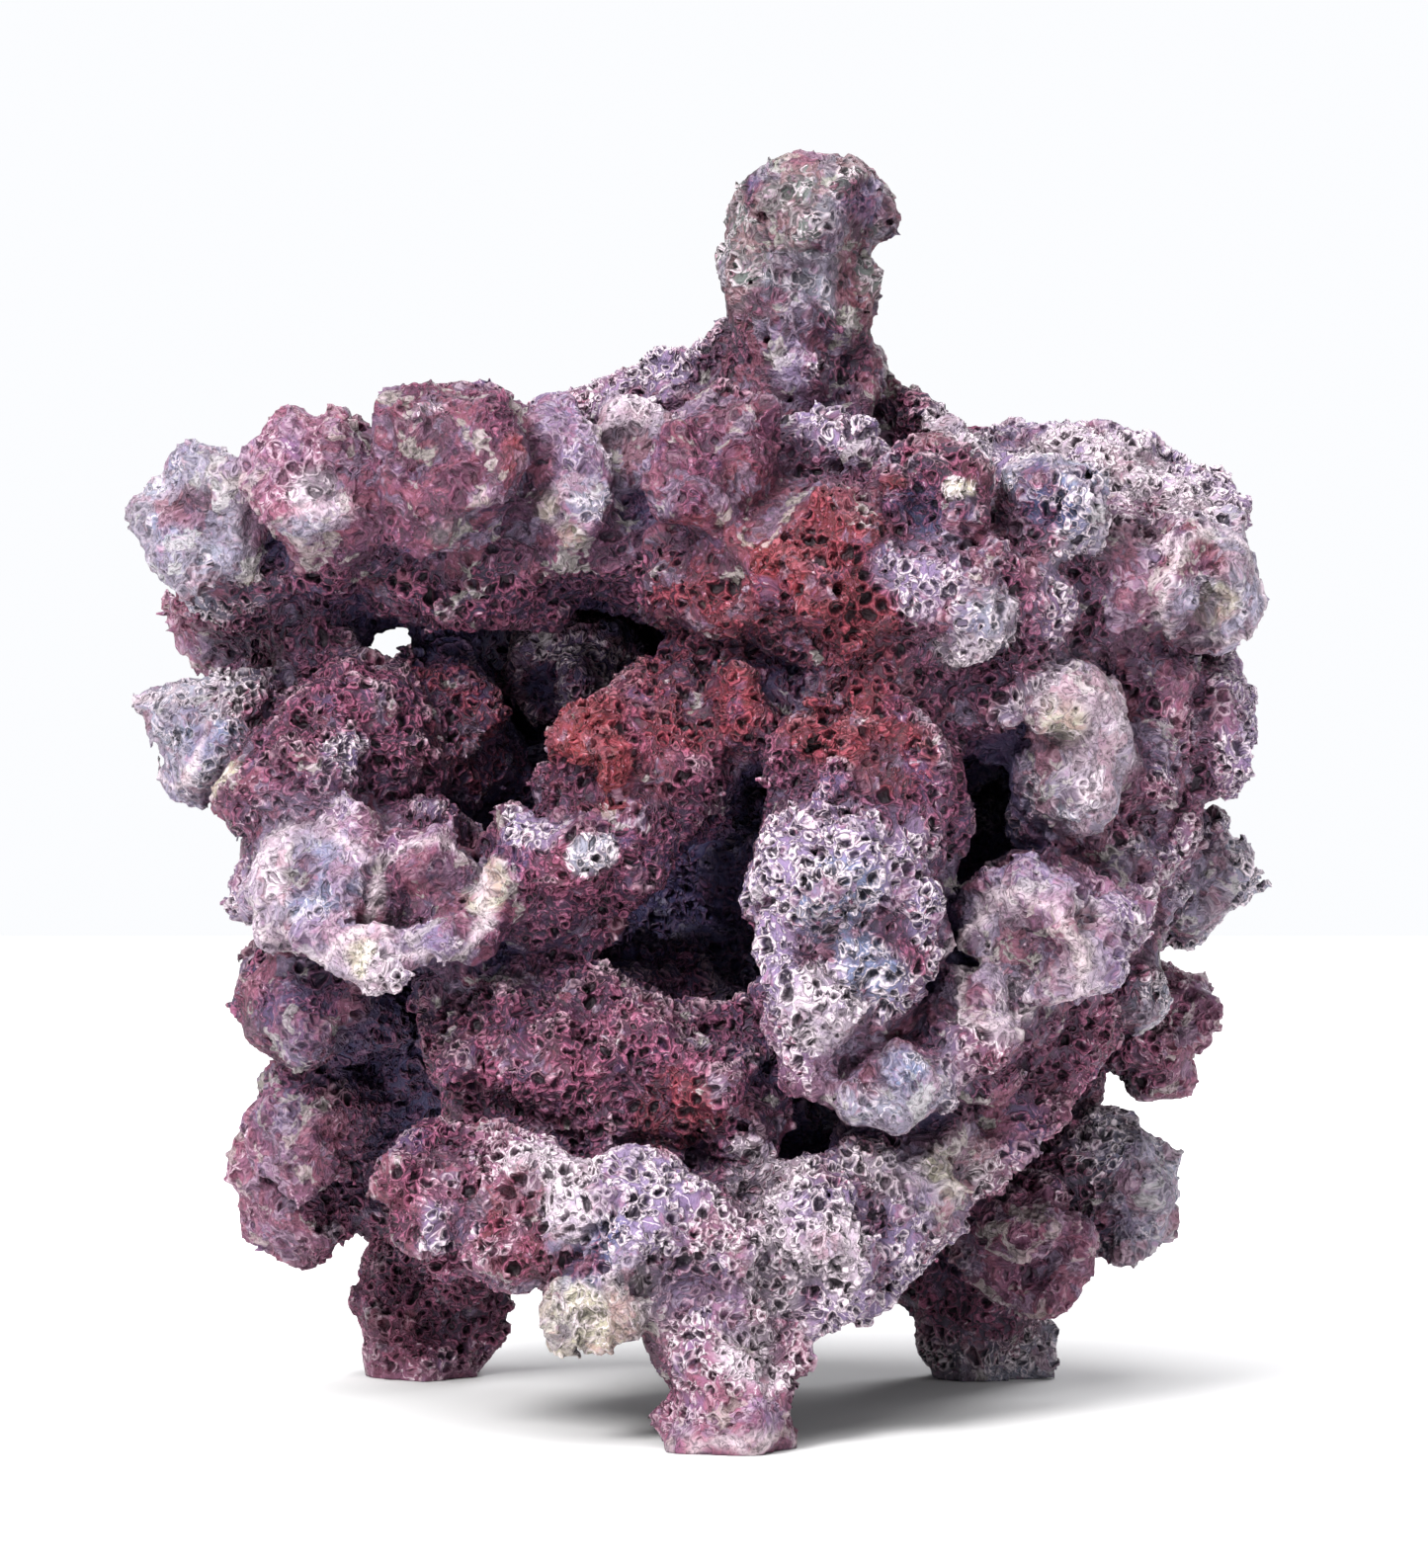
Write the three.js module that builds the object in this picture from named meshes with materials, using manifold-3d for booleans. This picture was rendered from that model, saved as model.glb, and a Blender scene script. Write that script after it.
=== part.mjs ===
// Aquarium reef rock: one piece of porous rock that branches into stubby fingers, in millimetres.
// +Z is up and -Y is the front. The rock stands on the worn ends of three of its fingers.

import * as THREE from 'three';
import { edgeTable, triTable } from 'three/addons/objects/MarchingCubes.js';
import Module from 'manifold-3d';

// Where the middle of the rock's box lies in the coordinates of the fingers below
const MIDDLE_X = -0.03;
const MIDDLE_Y = 12.43;

const MESH_CELL = 6.5; // size of the cells that the surface is meshed in
const MOST_FACES = 9900; // the mesh is then thinned to this many facets
const THIN_SHARE = 0.12; // share of the edges, the shortest first, that one round of thinning tries
const LEAST_TURN = 0.2; // cosine of the most that a facet may turn as an edge beside it goes
const RELAX_ROUNDS = 4; // times that the facets are evened out
const RELAX_STEP = 0.5; // share of the way that a corner moves to the middle of its neighbours
const SLOPE_STEP = 0.2; // the field's slope is taken over this length
const LEAST_SLOPE = 0.001; // keeps a corner still where the field has no slope
const MOST_MOVE = 2.2; // the most that a corner moves towards the surface at once
const SMALLEST_FAN = 4; // a corner with fewer facets round it keeps them all

const MELT = 2.6; // how far apart two fingers start to melt into each other
const LUMP_WIDTH = 30; // broad lumps: from one to the next
const LUMP_HEIGHT = 1.7;
const KNUCKLE_WIDTH = 17; // smaller lumps on them
const KNUCKLE_HEIGHT = 0.9;
const LUMP_LEAN = 0.3; // how far the lumps lean out of line with the axes

const END_SHARE = 0.8; // how far a blunt end reaches past its last point, as a share of its radius
const END_EDGE = 3; // rounding of the end's rim
const CRATER_SHARE = 0.5; // radius of the crater in a blunt end, as a share of the finger's radius
const CRATER_DEPTH = 2;
const CRATER_EDGE = 1; // rounding of the crater's rim

// The stems join the rock together. Each is a row of [x, y, z, radius].
const STEMS = {
  knob: [
    [14, 6, 190, 21], [20, 3, 209, 17.5], [19, 0, 219, 14.3], [19, -1, 229, 14.2],
    [21.5, -2, 241, 14],
  ],
  knobEar: [[25, -1, 241, 11], [29.5, 0, 242.5, 8]],
  knobRidge: [[12, 12, 204, 17], [-8, 14, 200, 16], [-26, 12, 192, 14]],
  topArm: [
    [20, 14, 192, 18], [42, 16, 188, 17], [62, 12, 182, 17.5], [80, 6, 180, 18.5],
    [92, -2, 177, 17],
  ],
  topArmUnder: [[44, -26, 168, 16], [62, -26, 168, 17], [80, -20, 168, 17], [92, -10, 170, 15.5]],
  crownBar: [
    [-88, 2, 172, 15], [-62, 6, 178, 16], [-34, 8, 181, 18], [-6, 8, 187, 18], [14, 10, 190, 20],
  ],
  crownSag: [[-76, -4, 170, 12], [-62, 2, 176, 9], [-46, -4, 172, 13], [-24, -6, 176, 13]],
  leftPost: [[-80, 6, 166, 13], [-79, 4, 150, 12], [-76, -2, 138, 14]],
  innerPost: [[-50, 8, 164, 7], [-51, 6, 150, 8], [-56, 0, 138, 13]],
  leftBough: [[-14, 40, 112, 16], [-46, 22, 120, 14], [-56, -4, 136, 14.5], [-72, -13, 136, 15.5]],
  leftSkirt: [[-78, -14, 108, 12], [-78, -8, 92, 12]],
  lowLeftBough: [[2, 40, 96, 18], [-24, 26, 90, 16], [-50, 4, 88, 14], [-66, -2, 86, 13]],
  slantBranch: [
    [16, 2, 148, 15], [6, -22, 143, 16.5], [-10, -32, 130, 16], [-26, -34, 112, 15],
    [-47, -20, 98, 14],
  ],
  frontBrow: [
    [-8, -14, 178, 16], [10, -28, 172, 18], [30, -38, 166, 18.5], [48, -38, 163, 17.5],
    [62, -30, 163, 16],
  ],
  frontColumn: [
    [40, -16, 156, 15], [36, -30, 144, 17.5], [31, -42, 126, 19], [28, -49, 106, 18.5],
    [26, -52, 86, 16.5],
  ],
  columnRoot: [[28, -30, 112, 14], [20, 4, 110, 14], [8, 34, 112, 16]],
  rightPost: [[84, -8, 164, 15], [87, -10, 148, 14], [88, -10, 130, 13.5], [84, -6, 112, 13.5]],
  rightFinger: [[76, -12, 108, 13], [76, -20, 120, 12]],
  rightBough: [[78, -4, 108, 15], [56, 24, 106, 15], [24, 38, 106, 16]],
  lowRightBranch: [[70, -22, 92, 13], [56, -38, 84, 11.5], [46, -48, 77, 10]],
  chin: [[-45, -18, 93, 15.5], [-38, -30, 76, 16], [-16, -37, 70, 17], [4, -38, 68, 15]],
  chinRoot: [[-16, -24, 76, 14], [-8, 6, 80, 15], [4, 34, 84, 17]],
  chinLeft: [[-38, -26, 66, 13], [-34, -42, 46, 12]],
  chinMiddle: [[-8, -30, 62, 13], [-6, -46, 40, 12]],
  lip: [[-50, -46, 48, 12], [-36, -55, 44, 14.5], [-14, -60, 39, 15.5], [2, -56, 33, 15]],
  lipRight: [
    [2, -54, 30, 15], [20, -50, 36, 16], [35, -42, 46, 13.5], [52, -28, 62, 14], [70, -12, 86, 15],
  ],
  heart: [
    [4, 20, 186, 19], [6, 34, 160, 19], [4, 40, 130, 20], [2, 40, 100, 20], [4, 42, 74, 18],
    [-4, 46, 44, 16],
  ],
  backSlant: [[58, 24, 178, 17], [42, 50, 162, 17], [18, 68, 138, 18], [-8, 76, 114, 17]],
  backSlantRoot: [[14, 62, 134, 14], [4, 40, 126, 15]],
  backLeftFall: [
    [-36, 16, 182, 16], [-34, 44, 166, 15], [-62, 60, 134, 16], [-66, 62, 100, 15],
    [-60, 42, 64, 16],
  ],
  backLeftTie: [[-64, 58, 118, 13], [-36, 52, 108, 13], [0, 42, 104, 15]],
  backRightFall: [
    [88, 4, 148, 13], [90, 32, 136, 14], [82, 48, 108, 16], [74, 48, 78, 15], [62, 38, 48, 15],
  ],
  backRightTie: [[80, 46, 102, 13], [46, 52, 92, 14], [6, 44, 84, 15]],
  backCaveTie: [[-34, 44, 164, 13], [-14, 46, 162, 13], [4, 36, 158, 14]],
  backSideTie: [[88, 30, 138, 13], [60, 40, 130, 14], [20, 50, 132, 15]],
  innerTie: [[6, 32, 150, 15], [42, 8, 142, 14], [84, -6, 150, 13]],
  floorBar: [[-62, 30, 46, 16], [-34, 46, 38, 15], [0, 50, 42, 16], [34, 50, 38, 15], [64, 34, 46, 15]],
  floorTie: [[4, -46, 40, 14], [14, -14, 52, 14], [4, 22, 50, 14], [0, 44, 44, 15]],
  lowLeftDrop: [[-54, 4, 84, 13], [-64, 14, 64, 14], [-62, 30, 46, 15]],
  crownFront: [
    [-84, -10, 177, 13], [-66, -13, 181, 15.5], [-46, -16, 177, 17.5], [-16, -15, 181, 17],
    [8, -14, 184, 17],
  ],
  plateBack: [[-80, -20, 110, 13], [-58, -22, 110, 14]],
  backInfill: [[-60, 58, 128, 13], [-32, 54, 136, 14], [-4, 46, 138, 14]],
  backLowTie: [[-10, 46, 62, 13], [30, 50, 66, 13], [64, 42, 62, 13]],
  browDrop: [[46, -32, 162, 17], [56, -28, 148, 14]],
  plateFront: [[-76, -34, 105, 13], [-54, -36, 103, 12]],
  ovalBody: [[72, -33, 128, 10.5], [72, -34, 142.5, 10]],
  plateLip: [
    [-86, -36, 100, 4], [-78, -47, 96, 4], [-66, -50, 93.5, 4.5], [-54, -49, 96, 4.5],
    [-46, -46, 100, 4.5], [-40, -42, 109, 4],
  ],
};

// The tips are the fingers that end bluntly, with a shallow crater in the end.
const TIPS = {
  farLeftTop: [[-84, 2, 174, 14], [-97, -15, 178, 15.5]],
  leftTop: [[-68, 0, 182, 14], [-75, -27, 186, 15]],
  middleTop: [[-46, 0, 185, 16], [-50, -33, 189.5, 17]],
  besideMiddleTop: [[-30, 0, 186, 14], [-29, -28, 188, 13.5]],
  rightOfMiddleTop: [[-12, 0, 186, 14], [-13, -25, 192, 12]],
  smallTop: [[0, 0, 188, 15], [2, -36, 189, 14]],
  topRidge: [[20, 2, 192, 14], [23, -22, 189, 13]],
  browLeft: [[44, -16, 174, 13], [44, -42, 180, 13]],
  browRight: [[68, -12, 175, 13], [68, -36, 179, 12]],
  rightTop: [[88, 0, 174, 15], [97, -24, 168, 13.5]],
  leftEar: [[-80, 2, 142, 12], [-100, -8, 138, 12]],
  leftShoulder: [[-66, -12, 134, 15], [-82, -24, 124, 14]],
  leftPlate: [[-68, -12, 110, 14], [-75, -35, 107, 16]],
  leftPlateRight: [[-58, -14, 108, 13], [-55, -37, 106, 13]],
  lowLeft: [[-64, 0, 86, 13], [-79, -12, 83, 14]],
  redLump: [[-6, -30, 136, 13], [-19, -39, 131, 11.5]],
  caveFinger: [[4, 36, 152, 14], [-18, 38, 150, 12], [-29, 10, 149, 11.5]],
  slantTop: [[2, -24, 138, 14], [8, -31, 143, 13]],
  columnFoot: [[26, -52, 86, 16], [24, -52, 74, 10.5]],
  rightOval: [[78, -14, 132, 12], [73, -30, 136, 11]],
  rightEar: [[88, 0, 144, 13], [101, -4, 140, 14]],
  rightFront: [[80, -4, 106, 14], [65.5, -42, 96.5, 14.5]],
  rightLedge: [[84, 0, 114, 12], [92, 0, 106, 10.5]],
  rightDrip: [[90, 2, 100, 7], [87, 0, 83, 6]],
  greyNub: [[46, -42, 76, 9], [35, -61, 70, 8.5]],
  darkNub: [[54, -32, 74, 9], [52, -40, 66, 8.5]],
  creamNub: [[50, -34, 66, 10], [45, -46, 50, 6.5]],
  chinEnd: [[-2, -38, 67, 15], [6, -45, 66, 13]],
  lipTip: [[-20, -58, 38, 13], [-21, -67, 29, 10]],
  lipLeft: [[-42, -50, 46, 13], [-53, -54, 45, 11]],
  frontFoot: [[2, -56, 30, 15], [5, -66, 6, 13]],
  floorLeftFoot: [[-40, 44, 40, 15], [-58, 54, 22, 14], [-61, 56, 4, 13]],
  floorRightFoot: [[40, 48, 40, 15], [58, 52, 22, 14], [61, 54, 4, 13]],
  floorLeftSide: [[-62, 30, 46, 14], [-86, 22, 42, 13]],
  floorLeftUp: [[-62, 34, 52, 14], [-82, 48, 62, 12]],
  floorRightSide: [[62, 36, 48, 14], [88, 30, 42, 13]],
  floorRightLow: [[58, 34, 44, 13], [66, 10, 30, 11.5]],
  floorBack: [[2, 50, 42, 15], [10, 76, 36, 14]],
  floorBackLeft: [[-34, 46, 40, 13], [-32, 70, 48, 12]],
  crownBack: [[2, 18, 188, 17], [-8, 48, 188, 15], [-12, 64, 184, 15]],
  crownBackSmall: [[28, 26, 186, 14], [34, 48, 194, 12]],
  crownBackLeft: [[-72, 10, 172, 14], [-92, 30, 170, 14], [-99, 40, 164, 13]],
  leftFallHigh: [[-36, 46, 164, 14], [-34, 68, 168, 14]],
  leftFallSide: [[-64, 58, 130, 14], [-90, 60, 136, 13]],
  leftFallLow: [[-62, 60, 98, 14], [-76, 78, 88, 13.5]],
  leftFallFoot: [[-60, 46, 70, 13], [-42, 66, 72, 12]],
  slantKnuckle: [[18, 68, 138, 15], [28, 90, 144, 14]],
  slantEnd: [[-8, 76, 114, 16], [-26, 86, 98, 16.5]],
  slantLow: [[0, 72, 120, 13], [10, 94, 112, 12]],
  slantHigh: [[42, 50, 162, 15], [60, 64, 158, 14]],
  rightFallHigh: [[90, 30, 138, 13], [102, 42, 146, 12]],
  rightFallBack: [[82, 48, 108, 15], [82, 72, 114, 15]],
  rightFallSide: [[76, 46, 82, 14], [98, 48, 74, 12.5]],
  rightFallLow: [[72, 46, 74, 13], [62, 70, 66, 13]],
  tieEnd: [[44, 52, 92, 13], [40, 76, 90, 12.5]],
  heartLow: [[4, 44, 74, 15], [-14, 66, 68, 13]],
  sideHighLeft: [[-78, 10, 148, 12], [-94, 26, 142, 12.5]],
  sideMiddleLeft: [[-48, 24, 114, 14], [-84, 28, 110, 13]],
  sideLowLeft: [[-62, 6, 84, 13], [-86, 16, 86, 13]],
  sideUnderLeft: [[-64, 14, 64, 13], [-82, 4, 56, 12]],
  sideRight: [[88, 0, 112, 12], [102, 16, 108, 12]],
};

const FAR_OFF = 1000; // further than any place is from the rock

const clamp01 = (value) => Math.min(1, Math.max(0, value));

// The smaller of two distances, with the corner between them filled over a width of melt.
function blendMin(a, b, melt) {
  const share = clamp01(0.5 + (b - a) / (2 * melt));
  return b + (a - b) * share - melt * share * (1 - share);
}

const blendMax = (a, b, melt) => -blendMin(-a, -b, melt);

// Distance from a point to a round bar between two points [x, y, z, radius].
function barDistance(x, y, z, from, to) {
  const [dx, dy, dz] = [to[0] - from[0], to[1] - from[1], to[2] - from[2]];
  const [px, py, pz] = [x - from[0], y - from[1], z - from[2]];
  const share = clamp01((px * dx + py * dy + pz * dz) / (dx * dx + dy * dy + dz * dz));
  const radius = from[3] + (to[3] - from[3]) * share;
  return Math.hypot(px - dx * share, py - dy * share, pz - dz * share) - radius;
}

function rowDistance(x, y, z, row) {
  let distance = Infinity;
  for (let i = 1; i < row.length; i += 1) {
    distance = Math.min(distance, barDistance(x, y, z, row[i - 1], row[i]));
  }
  return distance;
}

// The blunt end of a tip: where it is, which way it faces, and the ball that dents it.
function bluntEnd(row) {
  const [before, last] = row.slice(-2);
  const way = new THREE.Vector3(last[0] - before[0], last[1] - before[1], last[2] - before[2]).normalize();
  const centre = new THREE.Vector3(last[0], last[1], last[2]);
  const reach = END_SHARE * last[3];
  const craterRadius = CRATER_SHARE * last[3];
  const ballRadius = (craterRadius ** 2 + CRATER_DEPTH ** 2) / (2 * CRATER_DEPTH);
  const ballCentre = centre.clone().addScaledVector(way, reach + ballRadius - CRATER_DEPTH);
  return { way, centre, reach, ballRadius, ballCentre };
}

function tipDistance(x, y, z, row, end) {
  const { way, centre, reach, ballRadius, ballCentre } = end;
  const past = (x - centre.x) * way.x + (y - centre.y) * way.y + (z - centre.z) * way.z - reach;
  const outsideBall = Math.hypot(x - ballCentre.x, y - ballCentre.y, z - ballCentre.z) - ballRadius;
  const blunt = blendMax(rowDistance(x, y, z, row), past, END_EDGE);
  return blendMax(blunt, -outsideBall, CRATER_EDGE);
}

// Soft lumps that follow no grid: one wave of a gyroid, about one high.
function lump(x, y, z, width) {
  const turn = (2 * Math.PI) / width;
  const u = (x + LUMP_LEAN * y) * turn;
  const v = (y - LUMP_LEAN * z) * turn;
  const w = (z + LUMP_LEAN * x) * turn;
  return Math.sin(u) * Math.cos(v) + Math.sin(v) * Math.cos(w) + Math.sin(w) * Math.cos(u);
}

const stemRows = Object.values(STEMS);
const tipRows = Object.values(TIPS);
const tipEnds = tipRows.map(bluntEnd);

// Distance to the surface of the whole rock, below 0 inside it.
function rockDistance(x, y, z) {
  let distance = FAR_OFF;
  for (const row of stemRows) distance = blendMin(distance, rowDistance(x, y, z, row), MELT);
  tipRows.forEach((row, i) => {
    distance = blendMin(distance, tipDistance(x, y, z, row, tipEnds[i]), MELT);
  });
  const lumps = LUMP_HEIGHT * lump(x, y, z, LUMP_WIDTH);
  const knuckles = KNUCKLE_HEIGHT * lump(y, z, x, KNUCKLE_WIDTH);
  return distance + lumps + knuckles;
}

// Corners of a cell, its edges as pairs of corners, both in the order of the marching cubes tables.
const CELL_CORNERS = [
  [0, 0, 0], [1, 0, 0], [1, 1, 0], [0, 1, 0],
  [0, 0, 1], [1, 0, 1], [1, 1, 1], [0, 1, 1],
];
const CELL_EDGES = [
  [0, 1], [1, 2], [2, 3], [3, 0],
  [4, 5], [5, 6], [6, 7], [7, 4],
  [0, 4], [1, 5], [2, 6], [3, 7],
];

// A closed mesh of the surface where field is 0, with each corner shared.
function meshOf(field, low, high, cell) {
  const counts = low.map((value, axis) => Math.ceil((high[axis] - value) / cell) + 1);
  const indexOf = (i, j, k) => i + counts[0] * (j + counts[1] * k);
  const placeOf = (i, j, k) => [low[0] + i * cell, low[1] + j * cell, low[2] + k * cell];
  const values = new Float64Array(counts[0] * counts[1] * counts[2]);
  for (let k = 0; k < counts[2]; k += 1) {
    for (let j = 0; j < counts[1]; j += 1) {
      for (let i = 0; i < counts[0]; i += 1) values[indexOf(i, j, k)] = field(...placeOf(i, j, k));
    }
  }
  const corners = [];
  const faces = [];
  const cornerOnEdge = new Map();
  const cornerBetween = (a, b) => {
    const [indexA, indexB] = [indexOf(...a), indexOf(...b)];
    const key = `${Math.min(indexA, indexB)} ${Math.max(indexA, indexB)}`;
    if (!cornerOnEdge.has(key)) {
      const share = values[indexA] / (values[indexA] - values[indexB]);
      const from = placeOf(...a);
      const to = placeOf(...b);
      cornerOnEdge.set(key, corners.length);
      corners.push(from.map((value, axis) => value + (to[axis] - value) * share));
    }
    return cornerOnEdge.get(key);
  };
  for (let k = 0; k < counts[2] - 1; k += 1) {
    for (let j = 0; j < counts[1] - 1; j += 1) {
      for (let i = 0; i < counts[0] - 1; i += 1) {
        const cellCorners = CELL_CORNERS.map(([a, b, c]) => [i + a, j + b, k + c]);
        let kind = 0;
        cellCorners.forEach((at, bit) => {
          if (values[indexOf(...at)] < 0) kind |= 1 << bit;
        });
        if (edgeTable[kind] === 0) continue;
        for (let t = kind * 16; triTable[t] !== -1; t += 3) {
          const face = [2, 1, 0].map((step) => {
            const [a, b] = CELL_EDGES[triTable[t + step]];
            return cornerBetween(cellCorners[a], cellCorners[b]);
          });
          faces.push(face);
        }
      }
    }
  }
  return { corners, faces };
}

// Keeps the faces of the largest connected shell, which is the rock's outside.
function largestShell({ corners, faces }) {
  const parent = corners.map((_, i) => i);
  const rootOf = (i) => {
    while (parent[i] !== i) {
      parent[i] = parent[parent[i]];
      i = parent[i];
    }
    return i;
  };
  for (const [a, b, c] of faces) {
    parent[rootOf(b)] = rootOf(a);
    parent[rootOf(c)] = rootOf(a);
  }
  const sizes = new Map();
  for (const [a] of faces) sizes.set(rootOf(a), (sizes.get(rootOf(a)) ?? 0) + 1);
  const [largest] = [...sizes].reduce((best, entry) => (entry[1] > best[1] ? entry : best));
  return { corners, faces: faces.filter(([a]) => rootOf(a) === largest) };
}

const minus = (a, b) => a.map((value, axis) => value - b[axis]);
const dot = (a, b) => a.reduce((sum, value, axis) => sum + value * b[axis], 0);
const cross = (a, b) => [
  a[1] * b[2] - a[2] * b[1],
  a[2] * b[0] - a[0] * b[2],
  a[0] * b[1] - a[1] * b[0],
];

function directionOf([a, b, c]) {
  const normal = cross(minus(b, a), minus(c, a));
  const size = Math.hypot(...normal) || 1;
  return normal.map((value) => value / size);
}

// Joins the two ends of the shortest edges into one corner, round by round, until few enough facets
// are left.
function thin({ corners, faces }, field, most) {
  const places = [...corners];
  const kept = faces.map((face) => [...face]);
  const facesOf = corners.map(() => new Set());
  kept.forEach((face, number) => face.forEach((corner) => facesOf[corner].add(number)));
  const around = (corner) => {
    const found = new Set([...facesOf[corner]].flatMap((number) => kept[number]));
    found.delete(corner);
    return found;
  };
  const turnsLittle = (number, moved, place) => {
    const before = directionOf(kept[number].map((corner) => places[corner]));
    const placed = (corner) => (moved.includes(corner) ? place : places[corner]);
    const after = directionOf(kept[number].map(placed));
    return dot(before, after) > LEAST_TURN;
  };
  const mayJoin = (a, b, place) => {
    const shared = [...around(a)].filter((corner) => around(b).has(corner));
    if (shared.length !== 2) return false;
    if (shared.some((corner) => facesOf[corner].size < SMALLEST_FAN)) return false;
    const changed = [...facesOf[a], ...facesOf[b]].filter((n) => !(facesOf[a].has(n) && facesOf[b].has(n)));
    return changed.every((number) => turnsLittle(number, [a, b], place));
  };
  const join = (a, b, place) => {
    places[a] = place;
    for (const number of [...facesOf[b]]) {
      if (facesOf[a].has(number)) {
        kept[number].forEach((corner) => facesOf[corner].delete(number));
        kept[number] = null;
      } else {
        kept[number] = kept[number].map((corner) => (corner === b ? a : corner));
        facesOf[a].add(number);
      }
    }
    facesOf[b].clear();
  };
  const lengthOf = ([a, b]) => Math.hypot(...minus(places[a], places[b]));
  let left = kept.length;
  let before = Infinity;
  while (left > most && left < before) {
    before = left;
    const edgesOf = (face) => face.map((corner, i) => [corner, face[(i + 1) % face.length]]);
    const edges = kept.filter(Boolean).flatMap(edgesOf);
    const shortest = edges
      .filter(([a, b]) => a < b)
      .map((edge) => ({ edge, length: lengthOf(edge) }))
      .sort((one, other) => one.length - other.length);
    const settled = new Set();
    for (const { edge: [a, b] } of shortest.slice(0, shortest.length * THIN_SHARE)) {
      if (left <= most || settled.has(a) || settled.has(b)) continue;
      const middle = ontoSurface(places[a].map((value, axis) => (value + places[b][axis]) / 2), field);
      if (!mayJoin(a, b, middle)) continue;
      join(a, b, middle);
      around(a).forEach((corner) => settled.add(corner));
      left -= 2;
    }
  }
  return { corners: places, faces: kept.filter(Boolean) };
}

// Evens out the facets: each corner moves towards its neighbours, and back onto the surface.
function relax({ corners, faces }, field) {
  const neighbours = corners.map(() => new Set());
  for (const face of faces) {
    face.forEach((corner, i) => neighbours[corner].add(face[(i + 1) % 3]).add(face[(i + 2) % 3]));
  }
  let placed = corners;
  for (let round = 0; round < RELAX_ROUNDS; round += 1) {
    placed = placed.map((at, corner) => {
      const around = [...neighbours[corner]];
      if (around.length === 0) return at;
      const moved = at.map((value, axis) => {
        const middle = around.reduce((sum, other) => sum + placed[other][axis], 0) / around.length;
        return value + (middle - value) * RELAX_STEP;
      });
      return ontoSurface(moved, field);
    });
  }
  return { corners: placed, faces };
}

function ontoSurface(at, field) {
  const [x, y, z] = at;
  const here = field(x, y, z);
  const slope = [
    (field(x + SLOPE_STEP, y, z) - here) / SLOPE_STEP,
    (field(x, y + SLOPE_STEP, z) - here) / SLOPE_STEP,
    (field(x, y, z + SLOPE_STEP) - here) / SLOPE_STEP,
  ];
  const steepness = slope.reduce((sum, value) => sum + value * value, LEAST_SLOPE);
  const move = Math.max(-MOST_MOVE, Math.min(MOST_MOVE, here / steepness));
  return at.map((value, axis) => value - slope[axis] * move);
}

const wasm = await Module();
wasm.setup();

function solidOf({ corners, faces }) {
  return new wasm.Manifold(new wasm.Mesh({
    numProp: 3,
    vertProperties: new Float32Array(corners.flat()),
    triVerts: new Uint32Array(faces.flat()),
  }));
}

// Everything below the surface that the rock stands on, as a slab.
function slabBelow(low, high) {
  const [width, depth, height] = [high[0] - low[0], high[1] - low[1], -low[2]];
  const box = new THREE.BoxGeometry(width, depth, height);
  box.translate((low[0] + high[0]) / 2, (low[1] + high[1]) / 2, -height / 2);
  const place = box.getAttribute('position');
  const corners = [];
  const numberOf = new Map();
  const shared = Array.from({ length: place.count }, (_, i) => {
    const at = [place.getX(i), place.getY(i), place.getZ(i)];
    const key = at.join(' ');
    if (!numberOf.has(key)) {
      numberOf.set(key, corners.length);
      corners.push(at);
    }
    return numberOf.get(key);
  });
  const faces = [];
  for (let i = 0; i < box.index.count; i += 3) {
    faces.push([0, 1, 2].map((step) => shared[box.index.getX(i + step)]));
  }
  return solidOf({ corners, faces });
}

function geometryOf(solid) {
  const { vertProperties, triVerts } = solid.getMesh();
  const geometry = new THREE.BufferGeometry();
  geometry.setAttribute('position', new THREE.BufferAttribute(vertProperties, 3));
  geometry.setIndex(new THREE.BufferAttribute(triVerts, 1));
  geometry.translate(-MIDDLE_X, -MIDDLE_Y, 0);
  geometry.computeVertexNormals();
  return geometry;
}

// The box that is meshed: all the fingers, with room round them
function reachOf(rows) {
  const points = rows.flat();
  const room = Math.max(...points.map((point) => point[3])) + MESH_CELL;
  const low = [0, 1, 2].map((axis) => Math.min(...points.map((point) => point[axis])) - room);
  const high = [0, 1, 2].map((axis) => Math.max(...points.map((point) => point[axis])) + room);
  return [low, high];
}

function makeRock() {
  const [low, high] = reachOf([...stemRows, ...tipRows]);
  const shell = largestShell(meshOf(rockDistance, low, high, MESH_CELL));
  const thinned = thin(relax(shell, rockDistance), rockDistance, MOST_FACES);
  const whole = solidOf(relax(thinned, rockDistance));
  const standing = whole.subtract(slabBelow(low, high));
  const stone = new THREE.MeshStandardMaterial({
    color: 0x6e4a5a,
    roughness: 0.95,
    metalness: 0,
    flatShading: true,
  });
  const rock = new THREE.Mesh(geometryOf(standing), stone);
  rock.name = 'reef_rock';
  return rock;
}

const root = new THREE.Group();
root.add(makeRock());

export default root;
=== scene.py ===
import math

import bmesh
import bpy
import numpy as np
import openvdb
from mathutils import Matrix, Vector
from mathutils.geometry import delaunay_2d_cdt


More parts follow.
